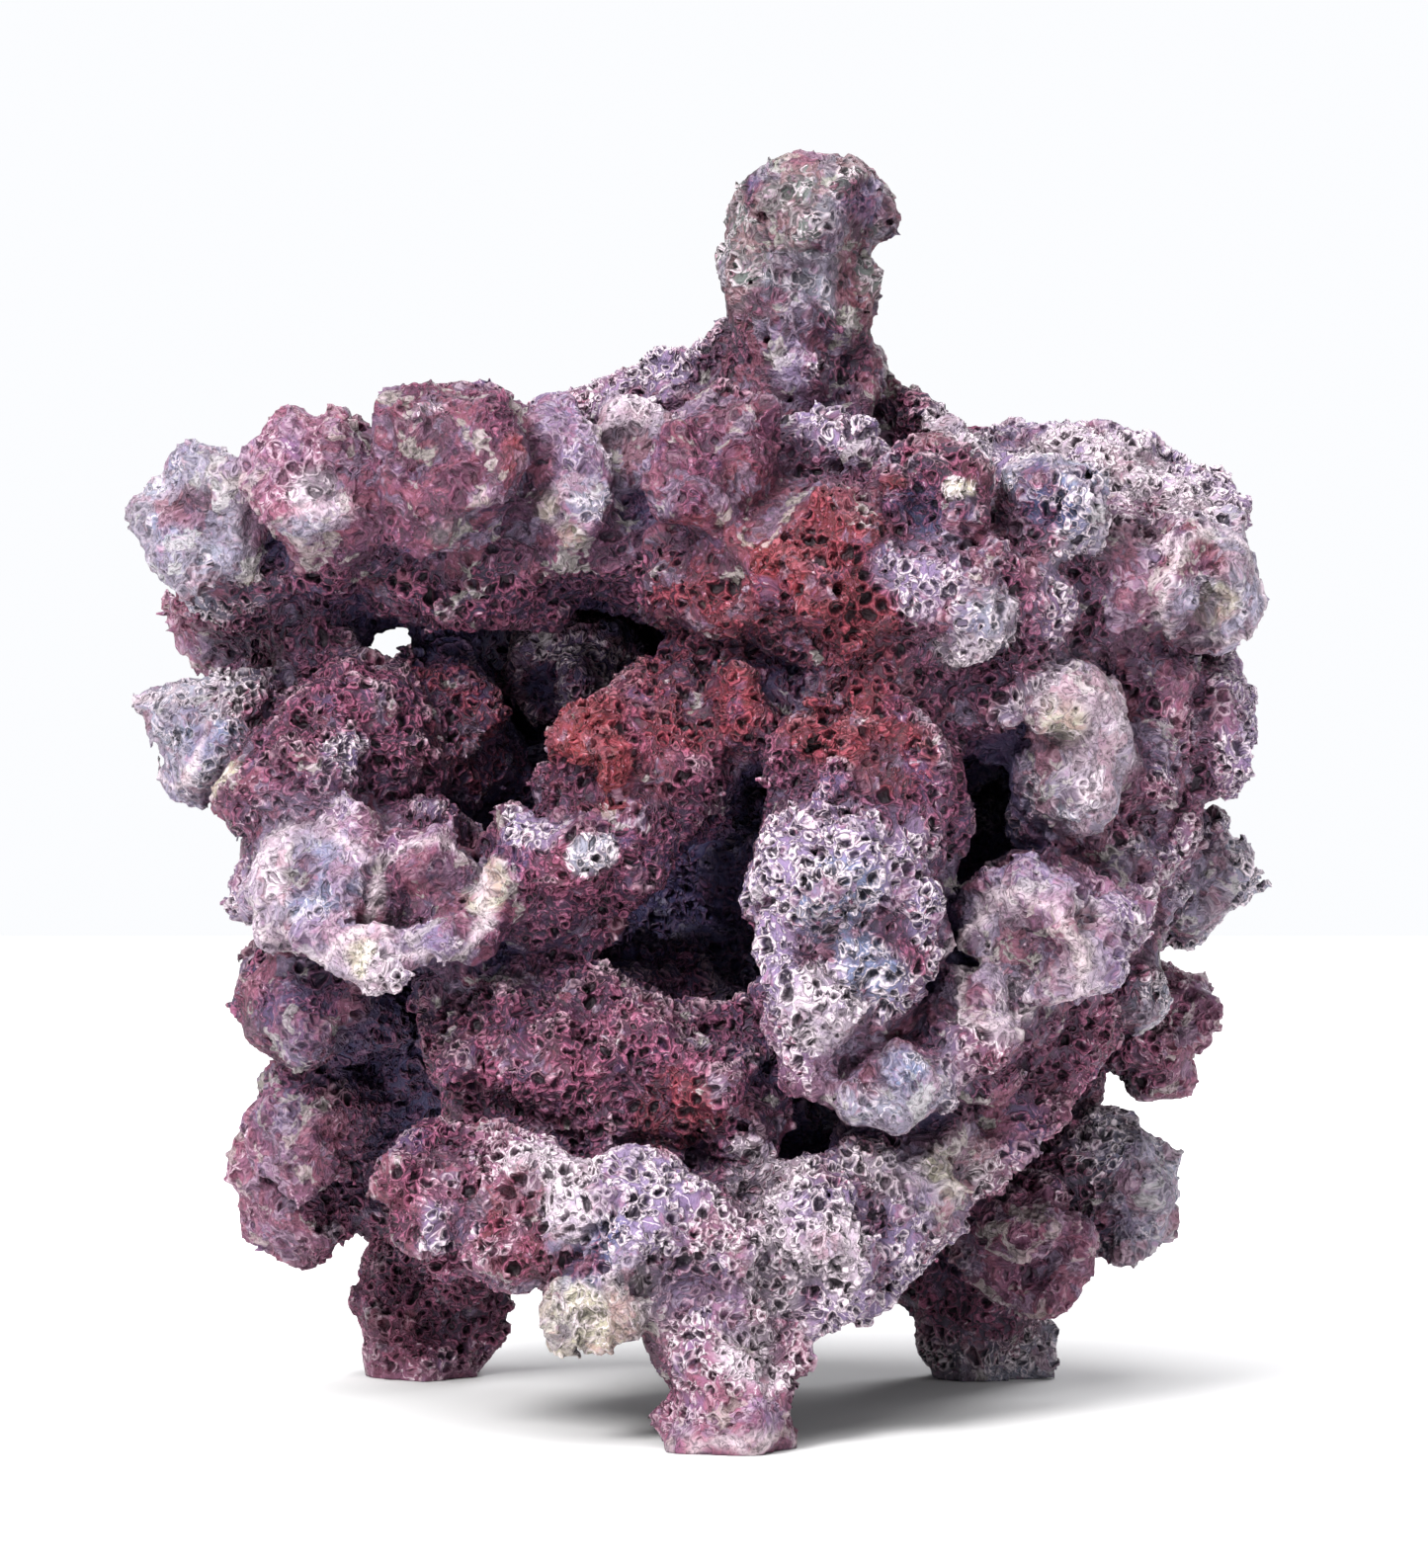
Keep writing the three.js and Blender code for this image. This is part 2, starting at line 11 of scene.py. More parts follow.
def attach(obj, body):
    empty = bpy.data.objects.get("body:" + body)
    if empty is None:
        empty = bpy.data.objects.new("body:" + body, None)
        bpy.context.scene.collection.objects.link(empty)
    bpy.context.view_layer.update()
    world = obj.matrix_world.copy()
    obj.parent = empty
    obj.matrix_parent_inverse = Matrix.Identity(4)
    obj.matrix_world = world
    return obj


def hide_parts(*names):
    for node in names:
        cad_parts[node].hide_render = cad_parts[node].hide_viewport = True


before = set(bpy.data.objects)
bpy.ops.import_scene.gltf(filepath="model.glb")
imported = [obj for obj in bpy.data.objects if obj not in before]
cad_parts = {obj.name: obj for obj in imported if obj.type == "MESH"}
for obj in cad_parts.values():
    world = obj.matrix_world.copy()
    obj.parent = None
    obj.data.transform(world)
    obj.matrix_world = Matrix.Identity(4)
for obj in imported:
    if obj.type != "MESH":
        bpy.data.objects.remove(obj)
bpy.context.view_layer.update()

MM = 0.001
MIDDLE_X, MIDDLE_Y = -0.03, 12.43  # the middle of the rock's box, in the fingers' coordinates

MELT = 2.6  # how far apart two fingers start to melt into each other
LUMP_WIDTH, LUMP_HEIGHT = 30.0, 1.7
KNUCKLE_WIDTH, KNUCKLE_HEIGHT = 17.0, 0.9
LUMP_LEAN = 0.3
END_SHARE, END_EDGE = 0.8, 3.0  # how far a blunt end reaches past its last point, and its rounding
CRATER_SHARE, CRATER_DEPTH, CRATER_EDGE = 0.5, 2.0, 1.0
STEM_CREASE, TIP_CREASE = 0.5, 1.1  # depth of the crease where a finger meets the rest
CREASE_WIDTH = 2.2

# The stems join the rock together. Each is a row of [x, y, z, radius].
STEMS = {
    "knob": [
        [14, 6, 190, 21], [20, 3, 209, 17.5], [19, 0, 219, 14.3], [19, -1, 229, 14.2],
        [21.5, -2, 241, 14],
    ],
    "knobEar": [[25, -1, 241, 11], [29.5, 0, 242.5, 8]],
    "knobRidge": [[12, 12, 204, 17], [-8, 14, 200, 16], [-26, 12, 192, 14]],
    "topArm": [
        [20, 14, 192, 18], [42, 16, 188, 17], [62, 12, 182, 17.5], [80, 6, 180, 18.5],
        [92, -2, 177, 17],
    ],
    "topArmUnder": [[44, -26, 168, 16], [62, -26, 168, 17], [80, -20, 168, 17], [92, -10, 170, 15.5]],
    "crownBar": [
        [-88, 2, 172, 15], [-62, 6, 178, 16], [-34, 8, 181, 18], [-6, 8, 187, 18],
        [14, 10, 190, 20],
    ],
    "crownSag": [[-76, -4, 170, 12], [-62, 2, 176, 9], [-46, -4, 172, 13], [-24, -6, 176, 13]],
    "leftPost": [[-80, 6, 166, 13], [-79, 4, 150, 12], [-76, -2, 138, 14]],
    "innerPost": [[-50, 8, 164, 7], [-51, 6, 150, 8], [-56, 0, 138, 13]],
    "leftBough": [[-14, 40, 112, 16], [-46, 22, 120, 14], [-56, -4, 136, 14.5], [-72, -13, 136, 15.5]],
    "leftSkirt": [[-78, -14, 108, 12], [-78, -8, 92, 12]],
    "lowLeftBough": [[2, 40, 96, 18], [-24, 26, 90, 16], [-50, 4, 88, 14], [-66, -2, 86, 13]],
    "slantBranch": [
        [16, 2, 148, 15], [6, -22, 143, 16.5], [-10, -32, 130, 16], [-26, -34, 112, 15],
        [-47, -20, 98, 14],
    ],
    "frontBrow": [
        [-8, -14, 178, 16], [10, -28, 172, 18], [30, -38, 166, 18.5], [48, -38, 163, 17.5],
        [62, -30, 163, 16],
    ],
    "frontColumn": [
        [40, -16, 156, 15], [36, -30, 144, 17.5], [31, -42, 126, 19], [28, -49, 106, 18.5],
        [26, -52, 86, 16.5],
    ],
    "columnRoot": [[28, -30, 112, 14], [20, 4, 110, 14], [8, 34, 112, 16]],
    "rightPost": [[84, -8, 164, 15], [87, -10, 148, 14], [88, -10, 130, 13.5], [84, -6, 112, 13.5]],
    "rightFinger": [[76, -12, 108, 13], [76, -20, 120, 12]],
    "rightBough": [[78, -4, 108, 15], [56, 24, 106, 15], [24, 38, 106, 16]],
    "lowRightBranch": [[70, -22, 92, 13], [56, -38, 84, 11.5], [46, -48, 77, 10]],
    "chin": [[-45, -18, 93, 15.5], [-38, -30, 76, 16], [-16, -37, 70, 17], [4, -38, 68, 15]],
    "chinRoot": [[-16, -24, 76, 14], [-8, 6, 80, 15], [4, 34, 84, 17]],
    "chinLeft": [[-38, -26, 66, 13], [-34, -42, 46, 12]],
    "chinMiddle": [[-8, -30, 62, 13], [-6, -46, 40, 12]],
    "lip": [[-50, -46, 48, 12], [-36, -55, 44, 14.5], [-14, -60, 39, 15.5], [2, -56, 33, 15]],
    "lipRight": [
        [2, -54, 30, 15], [20, -50, 36, 16], [35, -42, 46, 13.5], [52, -28, 62, 14],
        [70, -12, 86, 15],
    ],
    "heart": [
        [4, 20, 186, 19], [6, 34, 160, 19], [4, 40, 130, 20], [2, 40, 100, 20], [4, 42, 74, 18],
        [-4, 46, 44, 16],
    ],
    "backSlant": [[58, 24, 178, 17], [42, 50, 162, 17], [18, 68, 138, 18], [-8, 76, 114, 17]],
    "backSlantRoot": [[14, 62, 134, 14], [4, 40, 126, 15]],
    "backLeftFall": [
        [-36, 16, 182, 16], [-34, 44, 166, 15], [-62, 60, 134, 16], [-66, 62, 100, 15],
        [-60, 42, 64, 16],
    ],
    "backLeftTie": [[-64, 58, 118, 13], [-36, 52, 108, 13], [0, 42, 104, 15]],
    "backRightFall": [
        [88, 4, 148, 13], [90, 32, 136, 14], [82, 48, 108, 16], [74, 48, 78, 15], [62, 38, 48, 15],
    ],
    "backRightTie": [[80, 46, 102, 13], [46, 52, 92, 14], [6, 44, 84, 15]],
    "backCaveTie": [[-34, 44, 164, 13], [-14, 46, 162, 13], [4, 36, 158, 14]],
    "backSideTie": [[88, 30, 138, 13], [60, 40, 130, 14], [20, 50, 132, 15]],
    "innerTie": [[6, 32, 150, 15], [42, 8, 142, 14], [84, -6, 150, 13]],
    "floorBar": [[-62, 30, 46, 16], [-34, 46, 38, 15], [0, 50, 42, 16], [34, 50, 38, 15], [64, 34, 46, 15]],
    "floorTie": [[4, -46, 40, 14], [14, -14, 52, 14], [4, 22, 50, 14], [0, 44, 44, 15]],
    "lowLeftDrop": [[-54, 4, 84, 13], [-64, 14, 64, 14], [-62, 30, 46, 15]],
    "crownFront": [
        [-84, -10, 177, 13], [-66, -13, 181, 15.5], [-46, -16, 177, 17.5], [-16, -15, 181, 17],
        [8, -14, 184, 17],
    ],
    "plateBack": [[-80, -20, 110, 13], [-58, -22, 110, 14]],
    "backInfill": [[-60, 58, 128, 13], [-32, 54, 136, 14], [-4, 46, 138, 14]],
    "backLowTie": [[-10, 46, 62, 13], [30, 50, 66, 13], [64, 42, 62, 13]],
    "browDrop": [[46, -32, 162, 17], [56, -28, 148, 14]],
    "plateFront": [[-76, -34, 105, 13], [-54, -36, 103, 12]],
    "ovalBody": [[72, -33, 128, 10.5], [72, -34, 142.5, 10]],
    "plateLip": [
        [-86, -36, 100, 4], [-78, -47, 96, 4], [-66, -50, 93.5, 4.5], [-54, -49, 96, 4.5],
        [-46, -46, 100, 4.5], [-40, -42, 109, 4],
    ],
}

# The tips are the fingers that end bluntly, with a shallow crater in the end.
TIPS = {
    "farLeftTop": [[-84, 2, 174, 14], [-97, -15, 178, 15.5]],
    "leftTop": [[-68, 0, 182, 14], [-75, -27, 186, 15]],
    "middleTop": [[-46, 0, 185, 16], [-50, -33, 189.5, 17]],
    "besideMiddleTop": [[-30, 0, 186, 14], [-29, -28, 188, 13.5]],
    "rightOfMiddleTop": [[-12, 0, 186, 14], [-13, -25, 192, 12]],
    "smallTop": [[0, 0, 188, 15], [2, -36, 189, 14]],
    "topRidge": [[20, 2, 192, 14], [23, -22, 189, 13]],
    "browLeft": [[44, -16, 174, 13], [44, -42, 180, 13]],
    "browRight": [[68, -12, 175, 13], [68, -36, 179, 12]],
    "rightTop": [[88, 0, 174, 15], [97, -24, 168, 13.5]],
    "leftEar": [[-80, 2, 142, 12], [-100, -8, 138, 12]],
    "leftShoulder": [[-66, -12, 134, 15], [-82, -24, 124, 14]],
    "leftPlate": [[-68, -12, 110, 14], [-75, -35, 107, 16]],
    "leftPlateRight": [[-58, -14, 108, 13], [-55, -37, 106, 13]],
    "lowLeft": [[-64, 0, 86, 13], [-79, -12, 83, 14]],
    "redLump": [[-6, -30, 136, 13], [-19, -39, 131, 11.5]],
    "caveFinger": [[4, 36, 152, 14], [-18, 38, 150, 12], [-29, 10, 149, 11.5]],
    "slantTop": [[2, -24, 138, 14], [8, -31, 143, 13]],
    "columnFoot": [[26, -52, 86, 16], [24, -52, 74, 10.5]],
    "rightOval": [[78, -14, 132, 12], [73, -30, 136, 11]],
    "rightEar": [[88, 0, 144, 13], [101, -4, 140, 14]],
    "rightFront": [[80, -4, 106, 14], [65.5, -42, 96.5, 14.5]],
    "rightLedge": [[84, 0, 114, 12], [92, 0, 106, 10.5]],
    "rightDrip": [[90, 2, 100, 7], [87, 0, 83, 6]],
    "greyNub": [[46, -42, 76, 9], [35, -61, 70, 8.5]],
    "darkNub": [[54, -32, 74, 9], [52, -40, 66, 8.5]],
    "creamNub": [[50, -34, 66, 10], [45, -46, 50, 6.5]],
    "chinEnd": [[-2, -38, 67, 15], [6, -45, 66, 13]],
    "lipTip": [[-20, -58, 38, 13], [-21, -67, 29, 10]],
    "lipLeft": [[-42, -50, 46, 13], [-53, -54, 45, 11]],
    "frontFoot": [[2, -56, 30, 15], [5, -66, 6, 13]],
    "floorLeftFoot": [[-40, 44, 40, 15], [-58, 54, 22, 14], [-61, 56, 4, 13]],
    "floorRightFoot": [[40, 48, 40, 15], [58, 52, 22, 14], [61, 54, 4, 13]],
    "floorLeftSide": [[-62, 30, 46, 14], [-86, 22, 42, 13]],
    "floorLeftUp": [[-62, 34, 52, 14], [-82, 48, 62, 12]],
    "floorRightSide": [[62, 36, 48, 14], [88, 30, 42, 13]],
    "floorRightLow": [[58, 34, 44, 13], [66, 10, 30, 11.5]],
    "floorBack": [[2, 50, 42, 15], [10, 76, 36, 14]],
    "floorBackLeft": [[-34, 46, 40, 13], [-32, 70, 48, 12]],
    "crownBack": [[2, 18, 188, 17], [-8, 48, 188, 15], [-12, 64, 184, 15]],
    "crownBackSmall": [[28, 26, 186, 14], [34, 48, 194, 12]],
    "crownBackLeft": [[-72, 10, 172, 14], [-92, 30, 170, 14], [-99, 40, 164, 13]],
    "leftFallHigh": [[-36, 46, 164, 14], [-34, 68, 168, 14]],
    "leftFallSide": [[-64, 58, 130, 14], [-90, 60, 136, 13]],
    "leftFallLow": [[-62, 60, 98, 14], [-76, 78, 88, 13.5]],
    "leftFallFoot": [[-60, 46, 70, 13], [-42, 66, 72, 12]],
    "slantKnuckle": [[18, 68, 138, 15], [28, 90, 144, 14]],
    "slantEnd": [[-8, 76, 114, 16], [-26, 86, 98, 16.5]],
    "slantLow": [[0, 72, 120, 13], [10, 94, 112, 12]],
    "slantHigh": [[42, 50, 162, 15], [60, 64, 158, 14]],
    "rightFallHigh": [[90, 30, 138, 13], [102, 42, 146, 12]],
    "rightFallBack": [[82, 48, 108, 15], [82, 72, 114, 15]],
    "rightFallSide": [[76, 46, 82, 14], [98, 48, 74, 12.5]],
    "rightFallLow": [[72, 46, 74, 13], [62, 70, 66, 13]],
    "tieEnd": [[44, 52, 92, 13], [40, 76, 90, 12.5]],
    "heartLow": [[4, 44, 74, 15], [-14, 66, 68, 13]],
    "sideHighLeft": [[-78, 10, 148, 12], [-94, 26, 142, 12.5]],
    "sideMiddleLeft": [[-48, 24, 114, 14], [-84, 28, 110, 13]],
    "sideLowLeft": [[-62, 6, 84, 13], [-86, 16, 86, 13]],
    "sideUnderLeft": [[-64, 14, 64, 13], [-82, 4, 56, 12]],
    "sideRight": [[88, 0, 112, 12], [102, 16, 108, 12]],
}
GROWN_OVER = [TIPS["lipTip"]]  # the ends without a crater
FINGERS = {**STEMS, **TIPS}

# The grid in which the surface is made
CELL = 0.92
MARGIN = 4  # empty room round all the fingers
FAR_OFF = 60.0  # the distance given to the cells that no finger is near
ROOM = 12.0  # how far from a finger its distance is worked out
BAND = 5.0  # how far from the surface the fine shape is worked out

# Knobbly noise, [height, width, seed], and the folds and crests
KNOBBLES = [[1.0, 9.0, 1], [0.8, 4.6, 2], [0.5, 2.4, 4]]
FOLD_HEIGHT, FOLD_WIDTH, FOLD_LEVEL, FOLD_SEED = 1.8, 11.0, 0.35, 3
CREST_HEIGHT, CREST_WIDTH, CREST_SHARE, CREST_SEED = 1.5, 5.2, 0.15, 6

# The drilled holes
HOLE_TRIES, HOLE_PLACE_SEED, HOLE_SEED = 900, 11, 5
LEAST_RADIUS, MORE_RADIUS = 0.9, 1.3  # the narrowest hole's radius, and how much more the widest one has
HOLE_DEPTHS = (2.5, 6.0)
HOLE_LEAN, HOLE_TAPER, HOLE_EDGE = 0.35, 0.7, 0.7
HOLE_START = 2  # how far outside the surface a hole starts
HOLE_ROOM = 5  # how far round a hole the stone is worked out again
LOWEST_HOLE = 6  # no hole is drilled lower, in the soles
MOST_CRUST = 0.3  # no hole is drilled where more crust lies

# How hollows, edges and the open sky are felt round each point
EDGE_REACH, EDGE_SHARES = 4.0, (0.5, 0.34)  # the shares of stone between which an edge grows sharp
BULGE_REACH, BULGE_SHARES = 8.0, (0.54, 0.4)
SECOND_BLUR = 0.6  # the second blur's share of the reach
LOOK_CELL = 3.0  # about the size of the coarse cells in which the looking is done
LOOK_NEAREST, LOOK_FARTHEST = 0.5, 8.0  # how far from the stone the looking starts
LOOK_WAYS, LOOK_HOPS, LOOK_OUT = 64, 25, 2.5  # how many ways, how many cells far, and from how far out
GOLDEN_ANGLE = 2.399963
LOWEST_WAY = -0.25  # a way that leads down more steeply isn't looked along
CAVE_LIGHT = 0.42  # the finger in the cave catches at least this much light

# Tints and patches
TINT_REACH, TINT_MELT = 8, 2.2
LEAST_WEIGHT = 1e-4  # of plain maroon, where no finger is near
PATCH_WOBBLE, PATCH_WOBBLE_WIDTH = 3.0, 7.0
PATCH_SINK, PATCH_START, PATCH_END = 0.2, 0.7, 1.15  # shares of a patch's radius
MOST_PATCH = 0.9
AHEAD = 1.5  # half the width of the window in which a patch looks for the front of the stone

# Crust and pale rims. Their reach, place and width are shares of the radius of a blunt end.
CRUST_REACH, CRUST_EDGE, BARE_CRUST = 1.7, (-0.35, 0.45), 0.2
CRUST_FILLS = 0.55  # how much of the pores' depth the crust fills
ON_FINGER = (4.0, 1.5)  # how far from a finger a point starts to count as on it, and counts fully
RIM_WOBBLE, RIM_WOBBLE_WIDTH = 2.0, 5.0
RIM_REACH, RIM_PLACE, RIM_WIDTH, RIM_FRONT = 1.8, 0.86, 0.06, (0.2, 0.6)
SOLE = (0.5, 4.0)  # the heights between which the flat soles turn into porous stone

# Noise, in metres from here on
DRIFT_WIDTH, BLOTCH_WIDTH, FLAKE_WIDTH, SWIRL_WIDTH, FINE_WIDTH = 0.013, 0.009, 0.008, 0.0034, 0.0014
BEND_WIDTH, BEND_AMOUNT = 0.008, 0.006
PORE_BEND_WIDTH, PORE_BEND_AMOUNT = 0.0026, 0.0022

# Pores: [distance between them, least size, most size]. Sizes, edge and rim are shares of that distance.
LARGE_PORES = [0.0032, 0.12, 0.48]
SMALL_PORES = [0.0018, 0.08, 0.46]
PORE_EDGE, PORE_RIM_PLACE, PORE_RIM_WIDTH = (-0.02, 0.12), 0.11, 0.15
SMALL_PIT, SMALL_RIM = 0.7, 0.75  # how much the small pores and their rims count
PORE_DEPTH, RIM_HEIGHT = 1.7 * MM, 0.6 * MM
BUMP_PIT, BUMP_RIM, BUMP_FINE = -1.5 * MM, 0.9 * MM, 0.9 * MM

# The level cuts
SLICES = 9
BELOW, ABOVE = -0.01, 0.3  # heights clear of the rock
ON_PLANE = 1e-8  # a point this close to a cut lies on it
CAP_LEVEL = 1e-7  # a triangle whose points are all this close to a cut belongs to its cap
SAME_PLACE = 1e-9  # points this close together are one
INSIDE_LOOPS = 2  # the kind of triangulation that fills the inside of loops and leaves their holes open

# The floor, the sky and the lamps. A lamp has a name, a place, a width, a power in watts and a colour.
FLOOR_SIZE = 6.0
FLOOR_WHITE = (0.93, 0.925, 0.93, 1)
SKY_WHITE, SKY_STRENGTH = (0.97, 0.98, 1.0, 1), 0.22
AIM = (0, 0, 0.13)  # the middle of the rock
LAMPS = [
    ["key", (-0.8, -1.3, 1.1), 0.5, 32, (1, 0.99, 0.98)],
    ["fill", (1.3, -1.1, 0.5), 0.8, 4, (0.97, 0.98, 1)],
    ["back", (0.7, 1.4, 0.9), 0.8, 16, (0.98, 0.98, 1)],
]
CEILING_STRENGTH, CEILING_SPREAD, CEILING_TILT = 3.7, 70, (18, -14, 0)  # the angles in degrees
BOUNCES, DIFFUSE_BOUNCES = 2, 1

# The camera
CAMERA_PLACE, CAMERA_AIM = (0.0, -1.08, 0.13), (0.002, 0, 0.127)
CAMERA_LENS, CAMERA_SENSOR = 120, 36  # in millimetres
CAMERA_NEAR, CAMERA_FAR = 0.05, 50


# Noise and distances


def blend_min(a, b, melt):
    """The lower of two values, rounded where they are closer than melt."""
    share = np.clip(0.5 + (b - a) / (2 * melt), 0, 1)
    return b + (a - b) * share - melt * share * (1 - share)


def blend_max(a, b, melt):
    """The higher of two values, rounded where they are closer than melt."""
    return -blend_min(-a, -b, melt)


def smooth(low, high, value):
    """From 0 at low to 1 at high, with a soft start and a soft end."""
    share = np.clip((value - low) / (high - low), 0, 1)
    return share * share * (3 - 2 * share)


PRIME_I, PRIME_J, PRIME_K = 374761393, 668265263, 2147483647
PRIME_SEED, PRIME_LAST = 1274126177, 2246822519
BITS_32, BITS_24 = 0xFFFFFFFF, 0xFFFFFF


def lattice_value(i, j, k, seed):
    """A random number from 0 to 1 for each whole-numbered place."""
    mixed = (i * PRIME_I + j * PRIME_J + k * PRIME_K + seed * PRIME_SEED) & BITS_32
    mixed = ((mixed ^ (mixed >> 13)) * PRIME_SEED) & BITS_32
    mixed = ((mixed ^ (mixed >> 16)) * PRIME_LAST) & BITS_32
    return ((mixed ^ (mixed >> 15)) & BITS_24).astype(np.float32) / BITS_24


def corner_shares(part, kind):
    """The eight corners of a cell, and the share that each has in every point of the cell."""
    for corner in range(8):
        step = [(corner >> axis) & 1 for axis in range(3)]
        share = np.ones(len(part), kind)
        for axis in range(3):
            share *= part[:, axis] if step[axis] else 1 - part[:, axis]
        yield step, share


def noise(points, width, seed):
    """Smooth noise from -1 to 1, with bumps about width across."""
    scaled = points / np.float32(width)
    whole = np.floor(scaled)
    part = scaled - whole
    part = part * part * (3 - 2 * part)
    cell = whole.astype(np.int64)
    total = np.zeros(len(points), np.float32)
    for step, share in corner_shares(part, np.float32):
        at = [cell[:, axis] + step[axis] for axis in range(3)]
        total += share * lattice_value(*at, seed)
    return total * 2 - 1


def bar_distance(place, start, end):
    """Distance to a round bar between two points [x, y, z, radius], and how far along it."""
    run = [end[axis] - start[axis] for axis in range(3)]
    off = [place[axis] - np.float32(start[axis]) for axis in range(3)]
    length = sum(r * r for r in run)
    share = np.clip(sum(off[axis] * np.float32(run[axis] / length) for axis in range(3)), 0, 1)
    radius = start[3] + (end[3] - start[3]) * share
    gap = np.sqrt(sum((off[axis] - share * np.float32(run[axis])) ** 2 for axis in range(3)))
    return gap - radius, share


def row_distance(place, row):
    """Distance to a row of round bars."""
    distance = bar_distance(place, row[0], row[1])[0]
    for start, end in zip(row[1:-1], row[2:]):
        distance = np.minimum(distance, bar_distance(place, start, end)[0])
    return distance


def blunt_end(row):
    """A tip's last point, the way that it faces, and the ball that dents its end."""
    before, last = np.array(row[-2][:3], float), np.array(row[-1][:3], float)
    radius = row[-1][3]
    way = (last - before) / np.linalg.norm(last - before)
    crater = CRATER_SHARE * radius
    ball = (crater**2 + CRATER_DEPTH**2) / (2 * CRATER_DEPTH)
    return last, way, radius, ball, last + way * (END_SHARE * radius + ball - CRATER_DEPTH)


def tip_distance(place, row):
    """Distance to a finger that is cut off bluntly and dented by a ball."""
    last, way, radius, ball, ball_centre = blunt_end(row)
    past = sum((place[axis] - np.float32(last[axis])) * np.float32(way[axis]) for axis in range(3))
    outside = np.sqrt(sum((place[axis] - np.float32(ball_centre[axis])) ** 2 for axis in range(3))) - ball
    blunt = blend_max(row_distance(place, row), past - END_SHARE * radius, END_EDGE)
    return blunt if row in GROWN_OVER else blend_max(blunt, -outside, CRATER_EDGE)


def lump(x, y, z, width):
    """Even waves from -1.5 to 1.5, leaning a little, so that they don't follow the axes."""
    turn = 2 * math.pi / width
    u = ((x + LUMP_LEAN * y) * turn).astype(np.float32)
    v = ((y - LUMP_LEAN * z) * turn).astype(np.float32)
    w = ((z + LUMP_LEAN * x) * turn).astype(np.float32)
    return np.sin(u) * np.cos(v) + np.sin(v) * np.cos(w) + np.sin(w) * np.cos(u)


# The rough field of the whole rock, on a grid of cells


class Grid:
    """A box of cells round all the fingers, each with its distance to the surface, negative inside."""

    def __init__(self):
        points = np.array([point for row in FINGERS.values() for point in row], float)
        room = points[:, 3].max() + MARGIN
        self.low = points[:, :3].min(0) - room
        high = points[:, :3].max(0) + room
        self.counts = np.ceil((high - self.low) / CELL).astype(int) + 1
        self.axes = [
            (self.low[axis] + CELL * np.arange(self.counts[axis])).astype(np.float32) for axis in range(3)
        ]
        self.field = np.full(self.counts, FAR_OFF, np.float32)

    def near(self, low, high):
        """The cells in a box, as slices, and their places as three open arrays."""
        first = np.clip(np.floor((low - self.low) / CELL).astype(int), 0, self.counts)
        last = np.clip(np.ceil((high - self.low) / CELL).astype(int) + 1, 0, self.counts)
        cells = tuple(slice(a, b) for a, b in zip(first, last))
        x, y, z = (self.axes[axis][cells[axis]] for axis in range(3))
        return cells, (x[:, None, None], y[None, :, None], z[None, None, :])


def reach(row, room):
    """The box round a finger, with some room."""
    points = np.array(row, float)
    return (points[:, :3] - points[:, 3:]).min(0) - room, (points[:, :3] + points[:, 3:]).max(0) + room


def rough_field():
    """All the fingers melted into each other, with creases between them and broad lumps."""
    grid = Grid()
    kinds = ((STEMS, row_distance, STEM_CREASE), (TIPS, tip_distance, TIP_CREASE))
    for rows, distance_of, crease in kinds:
        for row in rows.values():
            cells, place = grid.near(*reach(row, ROOM))
            before, added = grid.field[cells], distance_of(place, row)
            groove = crease * np.exp(-(((before - added) / CREASE_WIDTH) ** 2))
            grid.field[cells] = blend_min(before, added, MELT) + groove
    x, y, z = grid.axes[0][:, None, None], grid.axes[1][None, :, None], grid.axes[2][None, None, :]
    grid.field += LUMP_HEIGHT * lump(x, y, z, LUMP_WIDTH)
    grid.field += KNUCKLE_HEIGHT * lump(y, z, x, KNUCKLE_WIDTH)
    return grid


def add_roughness(grid):
    """Knobbly noise, folds and thin crests, only near the surface."""
    near = np.nonzero(np.abs(grid.field) < BAND)
    place = np.stack([grid.axes[axis][near[axis]] for axis in range(3)], -1)
    rough = sum(height * noise(place, width, seed) for height, width, seed in KNOBBLES)
    folds = FOLD_HEIGHT * (np.abs(noise(place, FOLD_WIDTH, FOLD_SEED)) - FOLD_LEVEL)
    off_crest = np.abs(noise(place, CREST_WIDTH, CREST_SEED)) / CREST_SHARE
    crests = -CREST_HEIGHT * np.clip(1 - off_crest, 0, 1)
    grid.field[near] += rough + folds + crests
    return grid


def drill(grid, holes):
    """Cuts short round holes, each from a point on the surface inwards."""
    for start, end in holes:
        low = np.minimum(start[:3], end[:3]) - HOLE_ROOM
        high = np.maximum(start[:3], end[:3]) + HOLE_ROOM
        cells, place = grid.near(low, high)
        hollow = bar_distance(place, start, end)[0]
        grid.field[cells] = blend_max(grid.field[cells], -hollow, HOLE_EDGE)


def surface_points(grid, count, seed):
    """Random places on the surface, with the way that leads inwards."""
    near = np.nonzero(np.abs(grid.field) < CELL / 2)
    pick = np.random.default_rng(seed).choice(len(near[0]), count, replace=False)
    index = np.stack([near[axis][pick] for axis in range(3)], -1)
    index = np.clip(index, 1, grid.counts - 2)
    inward = np.zeros((count, 3))
    for axis in range(3):
        step = np.zeros(3, int)
        step[axis] = 1
        ahead, behind = index + step, index - step
        inward[:, axis] = grid.field[tuple(behind.T)] - grid.field[tuple(ahead.T)]
    inward /= np.linalg.norm(inward, axis=1, keepdims=True) + 1e-6
    return grid.low + index * CELL, inward


